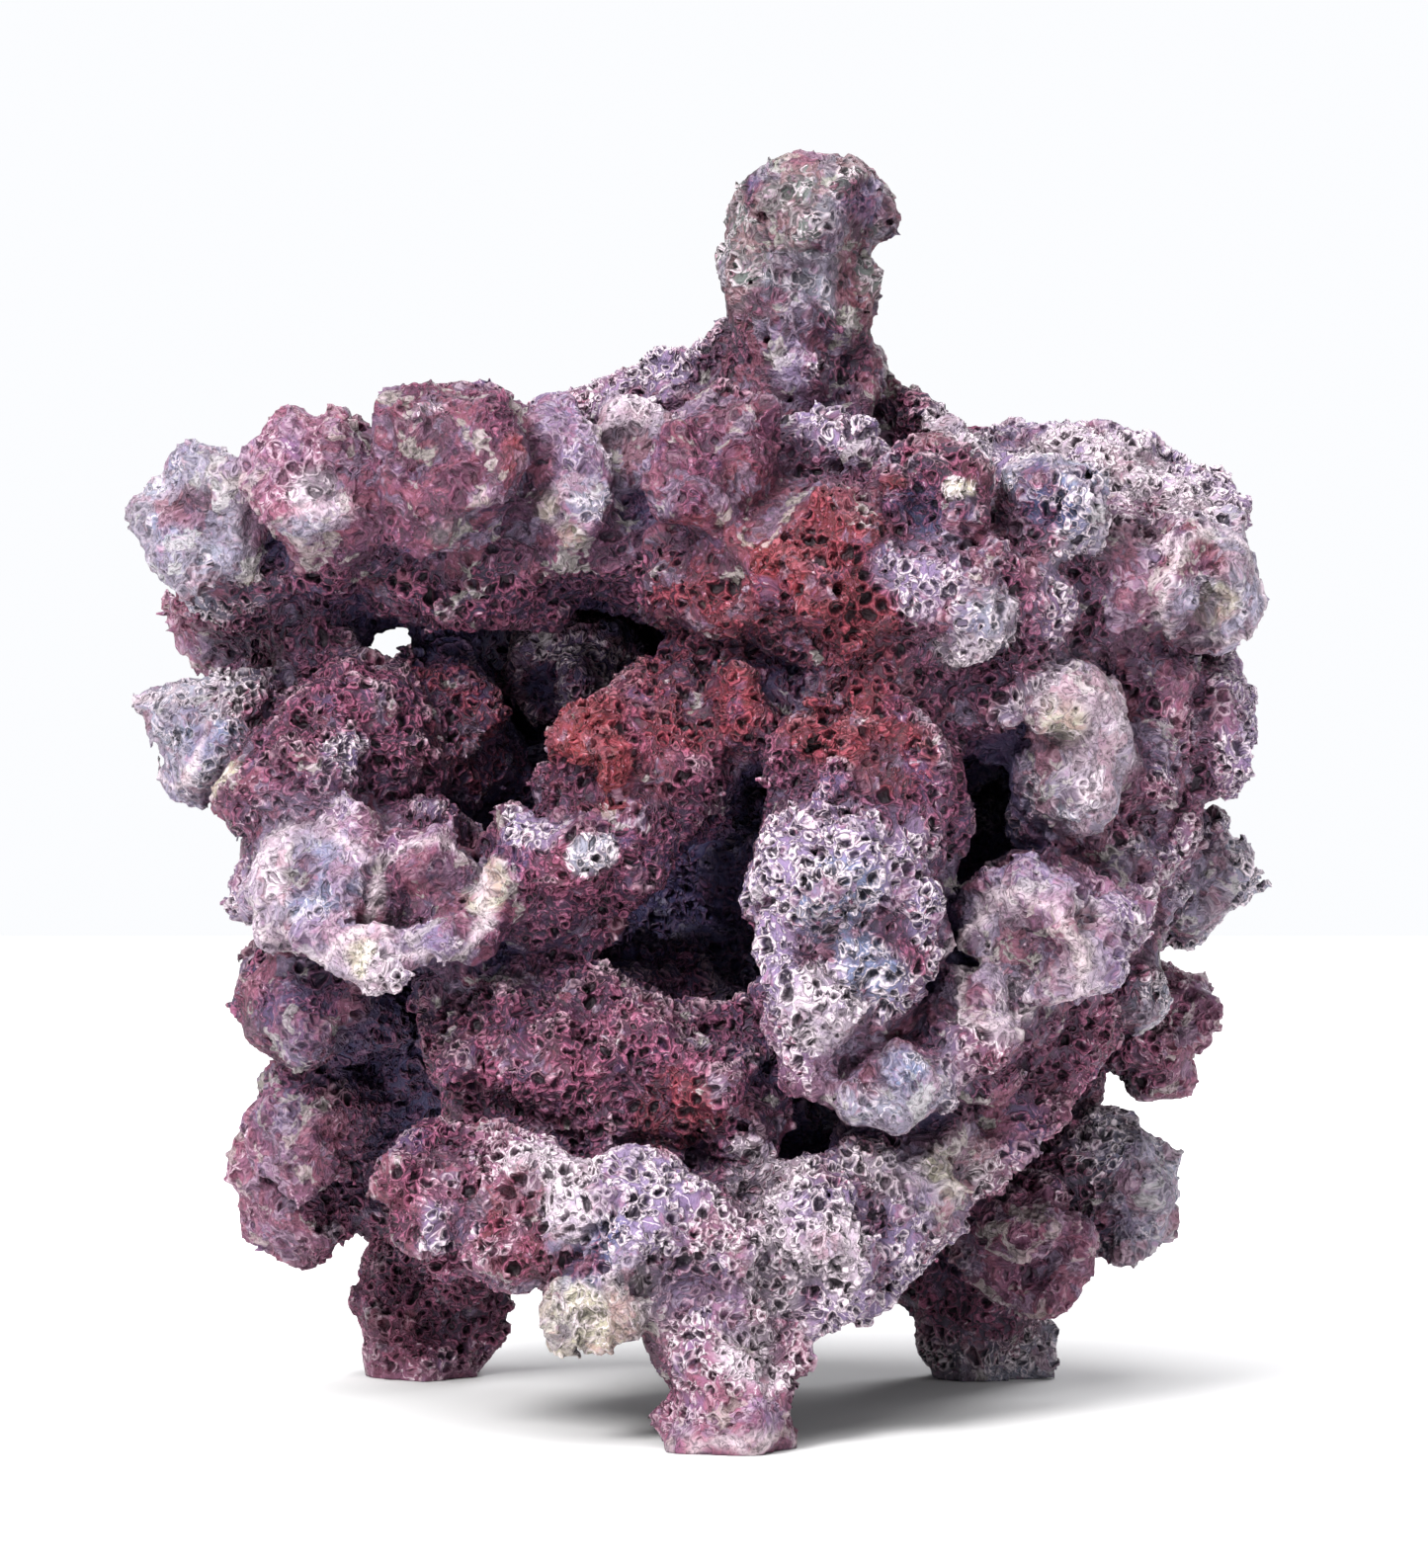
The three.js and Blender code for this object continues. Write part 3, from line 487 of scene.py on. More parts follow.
def make_holes(grid):
    """Holes of mixed sizes at random places, leaning at random, but none in the crust or the soles."""
    rng = np.random.default_rng(HOLE_SEED)
    places, inward = surface_points(grid, HOLE_TRIES, HOLE_PLACE_SEED)
    covered = crust_of(places) > MOST_CRUST
    holes = []
    for place, way, skipped in zip(places, inward, covered):
        radius = LEAST_RADIUS + MORE_RADIUS * rng.random() ** 2
        depth = rng.uniform(*HOLE_DEPTHS)
        way = way + rng.normal(0, HOLE_LEAN, 3)
        way /= np.linalg.norm(way)
        if skipped or place[2] < LOWEST_HOLE:
            continue
        start = [*(place - way * HOLE_START), radius]
        end = [*(place + way * depth), radius * HOLE_TAPER]
        holes.append((start, end))
    return holes


# From the field to a closed mesh


def shell_of(grid):
    """The surface as points and triangles that face outwards, cut off flat on the ground."""
    z = grid.axes[2][None, None, :]
    np.maximum(grid.field, -z, out=grid.field)
    volume = openvdb.FloatGrid(FAR_OFF)
    volume.copyFromArray(grid.field)
    points, triangles, quads = volume.convertToPolygons(0.0, 0.0)
    points = points.astype(np.float64) * CELL + grid.low
    quads = quads.astype(np.int64)
    triangles = triangles.astype(np.int64)
    across = np.linalg.norm(points[quads[:, 0]] - points[quads[:, 2]], axis=1)
    other = np.linalg.norm(points[quads[:, 1]] - points[quads[:, 3]], axis=1)
    short = across <= other
    halves = np.concatenate([
        quads[short][:, [0, 1, 2]],
        quads[short][:, [0, 2, 3]],
        quads[~short][:, [0, 1, 3]],
        quads[~short][:, [1, 2, 3]],
    ])
    faces = np.concatenate([triangles, halves])
    corners = points[faces]
    volume_six = np.einsum("ij,ij->i", corners[:, 0], np.cross(corners[:, 1], corners[:, 2])).sum()
    if volume_six < 0:
        faces = faces[:, ::-1]
    return largest_part(points, faces)


def used_only(points, faces):
    """Which of the points some faces use, and the faces with those points numbered afresh."""
    used = np.unique(faces)
    renumber = np.zeros(len(points), np.int64)
    renumber[used] = np.arange(len(used))
    return used, renumber[faces]


def largest_part(points, faces):
    """Leaves out loose crumbs and closed bubbles inside."""
    label = np.arange(len(points))
    edges = np.concatenate([faces[:, [0, 1]], faces[:, [1, 2]]])
    while True:
        lower = np.minimum(label[edges[:, 0]], label[edges[:, 1]])
        new = label.copy()
        np.minimum.at(new, edges[:, 0], lower)
        np.minimum.at(new, edges[:, 1], lower)
        for _ in range(3):
            new = new[new]
        if np.array_equal(new, label):
            break
        label = new
    sizes = np.bincount(label[faces[:, 0]])
    used, faces = used_only(points, faces[label[faces[:, 0]] == sizes.argmax()])
    return points[used], faces


def box_blur(values, reach_mm):
    """The mean of each cell's neighbourhood, as a cube."""
    half = max(1, round(reach_mm / CELL))
    for axis in range(3):
        padding = [(0, 0)] * 3
        padding[axis] = (half + 1, half)
        sums = np.cumsum(np.pad(values, padding, mode="edge"), axis=axis, dtype=np.float32)
        size = values.shape[axis]
        ahead = [slice(None)] * 3
        behind = [slice(None)] * 3
        ahead[axis] = slice(2 * half + 1, 2 * half + 1 + size)
        behind[axis] = slice(0, size)
        values = (sums[tuple(ahead)] - sums[tuple(behind)]) / (2 * half + 1)
    return values


def sample(grid, values, points):
    """The value at each point, mixed from the eight cells around it."""
    scaled = np.clip((points - grid.low) / CELL, 0, grid.counts - 1.001)
    whole = scaled.astype(int)
    part = scaled - whole
    total = np.zeros(len(points))
    for step, share in corner_shares(part, float):
        total += share * values[tuple((whole + step).T)]
    return total


def crowding(grid, points, reach_mm):
    """How much stone lies round each point: about 0.5 on a flat face, less on an edge, more in a hollow."""
    stone = (grid.field < 0).astype(np.float32)
    return sample(grid, box_blur(box_blur(stone, reach_mm), reach_mm * SECOND_BLUR), points)


def spread(total, weight, places):
    """A value known in some cells only, read at any place as the mean of the known cells around it."""
    for axis in range(3):
        total = total + np.roll(total, 1, axis) + np.roll(total, -1, axis)
        weight = weight + np.roll(weight, 1, axis) + np.roll(weight, -1, axis)
    value = total / np.maximum(weight, 1e-3)
    places = np.clip(places, 0, np.array(value.shape) - 1.001)
    whole = places.astype(int)
    part = places - whole
    read_total = np.zeros(len(places))
    read_weight = np.full(len(places), 1e-6)
    for step, share in corner_shares(part, float):
        at = tuple((whole + step).T)
        share = share * (weight[at] > 0)
        read_total += share * value[at]
        read_weight += share
    return read_total / read_weight


def look_ways():
    """Ways spread evenly over a ball, without those that lead steeply down."""
    number = np.arange(LOOK_WAYS)
    turn = number * GOLDEN_ANGLE
    rise = 1 - (number + 0.5) / (LOOK_WAYS / 2)
    flat = np.sqrt(1 - rise**2)
    return np.stack([flat * np.cos(turn), flat * np.sin(turn), rise], -1)[rise > LOWEST_WAY]


def openness(grid, points, normals):
    """The share of the sky and the room that each point sees: about 0.5 on a wall, near 0 in a cave."""
    stride = max(1, round(LOOK_CELL / CELL))
    coarse = grid.field[::stride, ::stride, ::stride]
    stone = coarse < 0
    start = np.argwhere((coarse > LOOK_NEAREST) & (coarse < LOOK_FARTHEST)).astype(np.float32)
    counts = np.array(coarse.shape)
    seen = np.zeros(len(start), np.float32)
    ways = look_ways()
    for way in ways:
        clear = np.arange(len(start))
        for hop in range(1, LOOK_HOPS + 1):
            at = np.rint(start[clear] + way * hop).astype(np.int32)
            inside = ((at >= 0) & (at < counts)).all(1)
            at = np.clip(at, 0, counts - 1)
            clear = clear[~(inside & stone[at[:, 0], at[:, 1], at[:, 2]])]
        seen[clear] += 1 / len(ways)
    total = np.zeros(coarse.shape, np.float32)
    weight = np.zeros(coarse.shape, np.float32)
    cells = tuple(start.astype(int).T)
    total[cells], weight[cells] = seen, 1
    return spread(total, weight, (points + normals * LOOK_OUT - grid.low) / (CELL * stride))


# Colours


def linear(red, green, blue):
    """A colour as the eye reads it, from 0 to 255, as linear light."""
    shares = [value / 255 for value in (red, green, blue)]
    return np.array([s / 12.92 if s <= 0.04045 else ((s + 0.055) / 1.055) ** 2.4 for s in shares])


TINTS = {
    "M": linear(70, 25, 54),  # maroon
    "D": linear(44, 23, 47),  # dark purple
    "R": linear(88, 12, 26),  # red
    "O": linear(118, 26, 24),  # red with orange in it
    "P": linear(138, 84, 112),  # pink
    "L": linear(132, 112, 150),  # lilac
    "B": linear(62, 78, 128),  # blue grey
    "S": linear(112, 124, 160),  # slate
    "V": linear(88, 68, 110),  # violet
    "G": linear(146, 146, 164),  # grey
    "N": linear(94, 102, 98),  # green grey
    "C": linear(206, 198, 172),  # cream
    "W": linear(200, 182, 196),  # whitish pink
}

# The tint of each finger, one letter for each point of its row. A finger left out is maroon, and its
# last point takes one of the END_TINTS, picked by the length of its name.
END_TINTS = "MDLPG"
FINGER_TINTS = {
    "knob": "DDDNN", "knobEar": "DD", "knobRidge": "DLP", "topArm": "DDLLL", "topArmUnder": "MMPP",
    "crownBar": "DMMMM", "crownSag": "DDDM", "crownFront": "DDDDD", "leftPost": "DDM",
    "innerPost": "DDD", "leftBough": "DDRM", "leftSkirt": "LM", "lowLeftBough": "DDDD",
    "slantBranch": "RRMMM", "frontBrow": "DRRML", "browDrop": "MLL", "frontColumn": "RRMLL",
    "columnRoot": "MDD", "rightPost": "PPPL", "rightFinger": "LG", "rightBough": "MMD",
    "lowRightBranch": "PPP", "chin": "DMMM", "plateBack": "LL", "plateFront": "WL", "chinLeft": "MM",
    "chinMiddle": "MM", "lip": "MPLP", "lipRight": "WLLPM", "farLeftTop": "LG", "leftTop": "MP",
    "middleTop": "MM", "besideMiddleTop": "LL", "rightOfMiddleTop": "LL", "smallTop": "MM",
    "topRidge": "ML", "browLeft": "MD", "browRight": "MG", "rightTop": "LG", "leftEar": "LG",
    "leftPlate": "PL", "leftPlateRight": "PP", "lowLeft": "DD", "leftShoulder": "DM", "redLump": "RO",
    "caveFinger": "DLL", "slantTop": "RR", "columnFoot": "LP", "rightOval": "GW", "ovalBody": "GW",
    "plateLip": "WLWLMM", "rightEar": "DL", "rightFront": "PL", "rightLedge": "GG", "rightDrip": "GG",
    "greyNub": "BG", "darkNub": "MD", "creamNub": "PC", "chinEnd": "MM", "lipTip": "BC",
    "lipLeft": "MM", "frontFoot": "PP",
}

# The blunt ends with a pale rim round the crater
PALE_RIMS = ["frontFoot", "leftPlate", "leftPlateRight", "rightTop", "leftEar", "rightFront"]

# The fingers with crust all over, and how much
SMOOTH_FINGERS = {
    "knob": 0.95, "knobEar": 0.95, "rightOval": 1.0, "ovalBody": 1.0, "plateLip": 0.8, "greyNub": 1.0,
    "plateFront": 0.9, "leftPlate": 0.9, "creamNub": 0.9, "rightFront": 0.8, "middleTop": 0.8,
    "smallTop": 0.8, "leftTop": 0.7,
}

# The blunt ends that are as porous as the stems
BARE_ENDS = {
    "browLeft", "browRight", "topRidge", "leftShoulder", "lipLeft", "chinEnd", "columnFoot", "slantTop",
    "redLump", "caveFinger", "sideRight", "darkNub", "rightEar", "crownBack", "leftFallHigh", "slantHigh",
    "floorLeftFoot", "floorRightFoot", "tieEnd", "heartLow", "sideLowLeft",
}

# Patches of another tint on the front: [x, z, radius, tint]
PATCHES = [
    [14, 240, 9, "N"], [22, 255, 5, "P"], [31, 243, 8, "D"], [19, 228, 8, "G"], [20, 218, 7, "D"],
    [20, 211, 6, "L"], [-75, 183, 7, "W"], [-43, 184, 6, "P"], [-48, 178, 5, "N"], [-31, 182, 4, "C"],
    [-26, 176, 4, "C"], [101, 163, 5, "C"], [97, 174, 8, "R"], [-90, 166, 5, "C"], [-96, 130, 5, "C"],
    [-62, 104, 9, "M"], [-66, 93, 3.5, "C"], [-43, 107, 5, "C"], [37, 184, 4, "R"], [50, 185, 4, "C"],
    [-23, 38, 9, "B"], [-22, 28, 6, "C"], [10, 19, 8, "W"], [46, 53, 6, "C"], [-80, 176, 6, "G"],
    [19, 101, 14, "L"], [23, 82, 10, "W"], [-22, 114, 6, "G"], [-78, 108, 10, "G"], [-11, 184, 7, "L"],
    [0, 176, 6, "R"], [-29, 53, 9, "W"], [13, 50, 9, "W"], [-54, 197, 5, "W"], [-36, 191, 5, "O"],
    [-50, 190, 13, "M"], [-25, 185, 6, "G"], [-8, 189, 8, "M"], [-96, 178, 7, "G"], [-88, 189, 6, "P"],
    [58, 191, 7, "G"], [82, 187, 8, "W"], [42, 168, 9, "L"], [56, 159, 8, "G"], [13, 170, 9, "O"],
    [-4, 157, 8, "R"], [4, 143, 8, "O"], [58, 120, 8, "W"], [75, 128, 6, "W"], [-44, 44, 7, "R"],
    [-34, 48, 6, "R"], [-6, 63, 10, "R"], [38, 78, 6, "M"], [-63, 120, 8, "P"], [-84, 113, 8, "W"],
    [36, 97, 7, "M"], [52, 199, 8, "W"], [70, 197, 9, "W"], [87, 194, 9, "W"], [98, 184, 8, "W"],
    [-15, 197, 10, "W"], [-4, 205, 7, "W"], [68, 184, 8, "B"], [43, 180, 7, "B"], [71, 137, 11, "W"],
    [70, 138, 7, "C"], [60, 105, 7, "L"], [66, 88, 8, "P"], [35, 70, 7, "G"], [33, 72, 4, "W"],
    [84, 124, 8, "P"], [-88, 92, 7, "P"], [60, 82, 5, "W"], [24, 140, 12, "R"], [37, 132, 11, "R"],
    [2, 165, 9, "R"], [25, 160, 8, "R"], [20, 176, 7, "R"], [-18, 128, 9, "O"], [-6, 141, 8, "R"],
    [-26, 133, 7, "O"], [12, 34, 9, "W"], [25, 38, 9, "W"], [-26, 46, 7, "W"], [2, 31, 8, "L"],
    [34, 52, 8, "W"], [-50, 42, 7, "L"], [-34, 36, 6, "R"], [52, 151, 8, "W"], [66, 96, 14, "W"],
    [67, 98, 9, "P"], [90, 134, 7, "L"], [26, 104, 9, "S"], [31, 93, 7, "S"], [-76, 108, 8, "S"],
    [36, 72, 6, "S"], [-104, 180, 6, "S"], [-100, 136, 6, "S"], [8, 247, 5, "D"], [25, 236, 4, "D"],
    [13, 225, 4, "D"], [62, 60, 8, "V"], [-86, 60, 9, "V"], [-34, 120, 7, "L"], [-70, 132, 6, "L"],
    [-52, 76, 7, "M"], [-80, 82, 13, "V"],
]


def points_near(points, row, room):
    """Which points lie near a finger, and their places as three arrays."""
    low, high = reach(row, room)
    inside = np.nonzero(((points > low) & (points < high)).all(1))[0]
    return inside, [points[inside, axis].astype(np.float32) for axis in range(3)]


def wobbled(points, amount, width, seeds):
    """The points, pushed about by noise."""
    return points + amount * np.stack([noise(points, width, seed) for seed in seeds], -1)


def tint_of(points):
    """The tint of each point, mixed from the fingers that it lies on, with the patches over them."""
    total = np.zeros((len(points), 3))
    weight = np.full(len(points), LEAST_WEIGHT)
    total += weight[:, None] * TINTS["M"]
    for name, row in FINGERS.items():
        plain = "M" * (len(row) - 1) + END_TINTS[len(name) % len(END_TINTS)]
        letters = FINGER_TINTS.get(name, plain)
        inside, place = points_near(points, row, TINT_REACH)
        for start, end, first, second in zip(row[:-1], row[1:], letters[:-1], letters[1:]):
            distance, share = bar_distance(place, start, end)
            pull = np.exp(-np.abs(distance) / TINT_MELT)
            share = share[:, None]
            total[inside] += pull[:, None] * (TINTS[first] * (1 - share) + TINTS[second] * share)
            weight[inside] += pull
    tint = total / weight[:, None]
    warped = wobbled(points, PATCH_WOBBLE, PATCH_WOBBLE_WIDTH, (21, 22, 23))
    for x, z, radius, letter in PATCHES:
        ahead = (np.abs(points[:, 0] - x) < AHEAD) & (np.abs(points[:, 2] - z) < AHEAD)
        y = points[ahead, 1].min() + PATCH_SINK * radius
        away = np.linalg.norm(warped - np.array([x, y, z]), axis=1)
        share = MOST_PATCH * smooth(radius * PATCH_END, radius * PATCH_START, away)[:, None]
        tint = tint * (1 - share) + TINTS[letter] * share
    return tint


def crust_of(points):
    """How much smooth crust lies on each point: most on the blunt ends, least on the stems."""
    crust = np.zeros(len(points), np.float32)
    for name, row in TIPS.items():
        last, way, radius, _, _ = blunt_end(row)
        inside = np.nonzero(np.linalg.norm(points - last, axis=1) < radius * CRUST_REACH)[0]
        along = (points[inside] - last) @ way / radius
        most = BARE_CRUST if name in BARE_ENDS else 1.0
        crust[inside] = np.maximum(crust[inside], most * smooth(*CRUST_EDGE, along))
    return crust


def near_row(points, row):
    """Which points lie on one finger, from 0 to 1."""
    near = np.zeros(len(points))
    inside, place = points_near(points, row, ON_FINGER[0])
    near[inside] = smooth(*ON_FINGER, np.abs(row_distance(place, row)))
    return near


def smooth_fingers(points, crust):
    """Adds crust on the fingers that are smooth all over."""
    for name, amount in SMOOTH_FINGERS.items():
        crust = np.maximum(crust, amount * near_row(points, FINGERS[name]))
    return crust


def rim_of(points):
    """The pale rim round the crater of some blunt ends."""
    rim = np.zeros(len(points), np.float32)
    warped = wobbled(points, RIM_WOBBLE, RIM_WOBBLE_WIDTH, (31, 32, 33))
    for name in PALE_RIMS:
        last, way, radius, _, _ = blunt_end(TIPS[name])
        inside = np.nonzero(np.linalg.norm(points - last, axis=1) < radius * RIM_REACH)[0]
        away = warped[inside] - last
        along = away @ way
        across = np.linalg.norm(away - along[:, None] * way, axis=1) / radius
        ring = np.exp(-(((across - RIM_PLACE) / RIM_WIDTH) ** 2))
        ring = ring * smooth(*RIM_FRONT, along / radius)
        rim[inside] = np.maximum(rim[inside], ring)
    return rim


# Materials


class Nodes:
    """Adds shader or geometry nodes and joins them, with one line for each."""

    def __init__(self, tree):
        self.tree = tree

    def add(self, kind, inputs=(), **settings):
        """A new node. Each of its inputs is a value, or another node's output."""
        node = self.tree.nodes.new(kind)
        for name, value in settings.items():
            setattr(node, name, value)
        for name, value in dict(inputs).items():
            socket = node.inputs[name]
            if isinstance(value, bpy.types.NodeSocket):
                self.tree.links.new(value, socket)
            else:
                socket.default_value = value
        return node

    def math(self, operation, first, second=0.0, third=0.0):
        return self.add("ShaderNodeMath", {0: first, 1: second, 2: third}, operation=operation).outputs[0]

    def ramp(self, value, low, high, to_low=0.0, to_high=1.0, smooth_step=True):
        """Goes from to_low, where the value is at low, to to_high, where it is at high."""
        kind = "SMOOTHSTEP" if smooth_step else "LINEAR"
        inputs = {"Value": value, "From Min": low, "From Max": high, "To Min": to_low, "To Max": to_high}
        return self.add("ShaderNodeMapRange", inputs, interpolation_type=kind).outputs["Result"]

    def noise(self, place, width, detail=2.0, roughness=0.5):
        """Noise with bumps about width metres across."""
        inputs = {"Vector": place, "Scale": 1 / width, "Detail": detail, "Roughness": roughness}
        return self.add("ShaderNodeTexNoise", inputs, noise_dimensions="3D")

    def warp(self, place, width, amount):
        """The same place, pushed about by noise."""
        pushes = {0: self.noise(place, width).outputs["Color"], 1: (0.5, 0.5, 0.5)}
        centred = self.add("ShaderNodeVectorMath", pushes, operation="SUBTRACT")
        inputs = {0: centred.outputs["Vector"], 1: (amount,) * 3, 2: place}
        return self.add("ShaderNodeVectorMath", inputs, operation="MULTIPLY_ADD").outputs["Vector"]

    def keep(self, geometry, name, value, kind="FLOAT"):
        """Stores a value on the points of a mesh."""
        inputs = {"Geometry": geometry, "Name": name, "Value": value}
        node = self.add("GeometryNodeStoreNamedAttribute", inputs, data_type=kind, domain="POINT")
        return node.outputs["Geometry"]

    def mix(self, share, first, second):
        """The first colour at share 0, the second at share 1."""
        inputs = {0: share, 6: first, 7: second}
        return self.add("ShaderNodeMix", inputs, data_type="RGBA", clamp_factor=True).outputs[2]


def paint(red, green, blue):
    """A colour for a node's socket."""
    return (*linear(red, green, blue), 1)


COOL_STONE, WARM_STONE = paint(92, 80, 132), paint(92, 16, 30)
# Painted shade: dark colours laid into hollows, sheltered places and caves
PAINTED_HOLLOW_SHADE, PAINTED_SHELTER_SHADE, PAINTED_CAVE_SHADE = paint(30, 12, 36), paint(26, 13, 46), paint(52, 48, 88)
MAROON_FLAKE, ROSE_FLAKE = paint(84, 42, 64), paint(150, 76, 94)
LILAC_FLAKE, CREAM_FLAKE = paint(126, 110, 138), paint(192, 186, 174)
# The last of these darkens the pits: partly dark paint, partly painted shade.
PALE_RIM, CRACK, DARK_PORE_PAINT_AND_SHADE = paint(226, 206, 214), paint(40, 24, 42), paint(18, 6, 20)
DARK_SPECK, PALE_SPECK = paint(26, 9, 26), paint(186, 130, 172)
PINK_LINE, RED_LINE, WHITE_LINE = paint(206, 112, 150), paint(192, 80, 98), paint(254, 236, 246)


def pits(nodes, place, width, least, most):
    """Round pits of mixed sizes: how deep each place is in one, and how near to its rim."""
    inputs = {"Vector": place, "Scale": 1 / width}
    cell = nodes.add("ShaderNodeTexVoronoi", inputs, voronoi_dimensions="3D", feature="F1")
    chance = nodes.add("ShaderNodeSeparateXYZ", {0: cell.outputs["Color"]}).outputs[0]
    size = nodes.ramp(chance, 0.0, 1.0, least, most, smooth_step=False)
    inward = nodes.math("SUBTRACT", size, cell.outputs["Distance"])
    off_rim = nodes.math("ABSOLUTE", nodes.math("ADD", inward, PORE_RIM_PLACE))
    return nodes.ramp(inward, *PORE_EDGE), nodes.ramp(off_rim, PORE_RIM_WIDTH, 0.0)


def pores(nodes, place):
    """Spongy stone: how deep each place is in a pore, how near to a rim, and the place bent a little."""
    bent = nodes.warp(place, PORE_BEND_WIDTH, PORE_BEND_AMOUNT)
    large_pit, large_rim = pits(nodes, bent, *LARGE_PORES)
    small_pit, small_rim = pits(nodes, bent, *SMALL_PORES)
    pit = nodes.math("MAXIMUM", large_pit, nodes.math("MULTIPLY", small_pit, SMALL_PIT))
    ridge = nodes.math("MAXIMUM", large_rim, nodes.math("MULTIPLY", small_rim, SMALL_RIM))
    ridge = nodes.math("MULTIPLY", ridge, nodes.math("MULTIPLY_ADD", large_pit, -0.9, 1.0))
    return pit, ridge, bent


def pores_tree(stone):
    """The tree that presses the pores in along the normals, and its two sizes. It keeps each old place."""
    tree = bpy.data.node_groups.new("pores", "GeometryNodeTree")
    tree.interface.new_socket("Geometry", in_out="INPUT", socket_type="NodeSocketGeometry")
    depth = tree.interface.new_socket("Pore depth", in_out="INPUT", socket_type="NodeSocketFloat")
    height = tree.interface.new_socket("Rim height", in_out="INPUT", socket_type="NodeSocketFloat")
    tree.interface.new_socket("Geometry", in_out="OUTPUT", socket_type="NodeSocketGeometry")
    nodes = Nodes(tree)
    given = nodes.add("NodeGroupInput").outputs
    still = nodes.add("GeometryNodeInputPosition").outputs[0]
    place = nodes.warp(still, BEND_WIDTH, BEND_AMOUNT)
    drift = nodes.noise(still, DRIFT_WIDTH, 3.0, 0.65).outputs["Fac"]
    blotch = nodes.noise(place, BLOTCH_WIDTH, 3.0, 0.6).outputs["Fac"]
    kept = nodes.keep(given["Geometry"], "place", place, "FLOAT_VECTOR")
    kept = nodes.keep(kept, "drift", drift)
    kept = nodes.keep(kept, "blotch", blotch)
    pored = nodes.add("GeometryNodeInputNamedAttribute", {"Name": "pored"}, data_type="FLOAT")
    pit, ridge, _ = pores(nodes, place)
    raised = nodes.math("MULTIPLY", ridge, given["Rim height"])
    relief = nodes.math("SUBTRACT", raised, nodes.math("MULTIPLY", pit, given["Pore depth"]))
    relief = nodes.math("MULTIPLY", relief, pored.outputs["Attribute"])
    normal = nodes.add("GeometryNodeInputNormal").outputs[0]
    push = nodes.add("ShaderNodeVectorMath", {0: normal, "Scale": relief}, operation="SCALE")
    moved = nodes.add("GeometryNodeSetPosition", {"Geometry": kept, "Offset": push.outputs["Vector"]})
    real = nodes.add("GeometryNodeRealizeInstances", {"Geometry": moved.outputs["Geometry"]})
    inputs = {"Geometry": real.outputs["Geometry"], "Material": stone}
    painted = nodes.add("GeometryNodeSetMaterial", inputs)
    nodes.add("NodeGroupOutput", {0: painted.outputs["Geometry"]})
    return tree, depth, height


def sink_pores(piece, stone):
    """A plain mesh of the piece with its pores pressed in."""
    tree, depth, height = pores_tree(stone)
    modifier = piece.modifiers.new("pores", "NODES")
    modifier.node_group = tree
    modifier[depth.identifier] = PORE_DEPTH
    modifier[height.identifier] = RIM_HEIGHT
    bpy.context.view_layer.update()
    evaluated = piece.evaluated_get(bpy.context.evaluated_depsgraph_get())
    mesh = bpy.data.meshes.new_from_object(evaluated)
    piece.modifiers.remove(modifier)
    return mesh


def hue_and_painted_shade(nodes, tint, drift, bulge, seen):
    """The tint with broad shifts of hue, and painted shade that darkens hollows and sheltered places that
    see little sky.
    """
    stone = nodes.mix(nodes.ramp(drift, 0.54, 0.66, 0.0, 0.45), tint, COOL_STONE)
    stone = nodes.mix(nodes.ramp(drift, 0.46, 0.34, 0.0, 0.5), stone, WARM_STONE)
    stone = nodes.mix(nodes.ramp(bulge, 0.9, 0.0, 0.0, 0.55), stone, PAINTED_HOLLOW_SHADE)
    return nodes.mix(nodes.ramp(seen, 0.62, 0.24, 0.0, 0.76), stone, PAINTED_SHELTER_SHADE)


def crust_patches(nodes, blotch, edge, crust, fine):
    """Where smooth crust covers the stone: in blotches, most of it on the blunt ends."""
    exposed = nodes.math("MULTIPLY_ADD", edge, 0.03, nodes.math("MULTIPLY", crust, 0.12))
    exposed = nodes.math("MULTIPLY_ADD", fine, 0.1, exposed)
    return nodes.ramp(nodes.math("ADD", blotch, exposed), 0.61, 0.64)


def flakes(nodes, stone, bent, crust):
    """The crust's flakes of maroon, rose, lilac and cream, mixed with the stone's own colour."""
    chances = nodes.noise(bent, FLAKE_WIDTH, 3.0, 0.65).outputs["Color"]
    rose, lilac, cream = nodes.add("ShaderNodeSeparateXYZ", {0: chances}).outputs
    colour = nodes.mix(nodes.ramp(rose, 0.49, 0.53), MAROON_FLAKE, ROSE_FLAKE)
    colour = nodes.mix(nodes.ramp(lilac, 0.52, 0.56), colour, LILAC_FLAKE)
    cream = nodes.ramp(nodes.math("MULTIPLY_ADD", crust, 0.04, cream), 0.6, 0.64)
    colour = nodes.mix(cream, colour, CREAM_FLAKE)
    return nodes.mix(0.55, colour, stone)


def curly_lines(nodes, bent, fine):
    """Thin curly lines, broken up by the fine noise."""
    swirl = nodes.noise(bent, SWIRL_WIDTH, 1.0, 0.6).outputs["Fac"]
    line = nodes.ramp(nodes.math("ABSOLUTE", nodes.math("SUBTRACT", swirl, 0.5)), 0.035, 0.0)
    return nodes.math("MULTIPLY", line, nodes.ramp(fine, 0.42, 0.56, 0.2, 1.0))


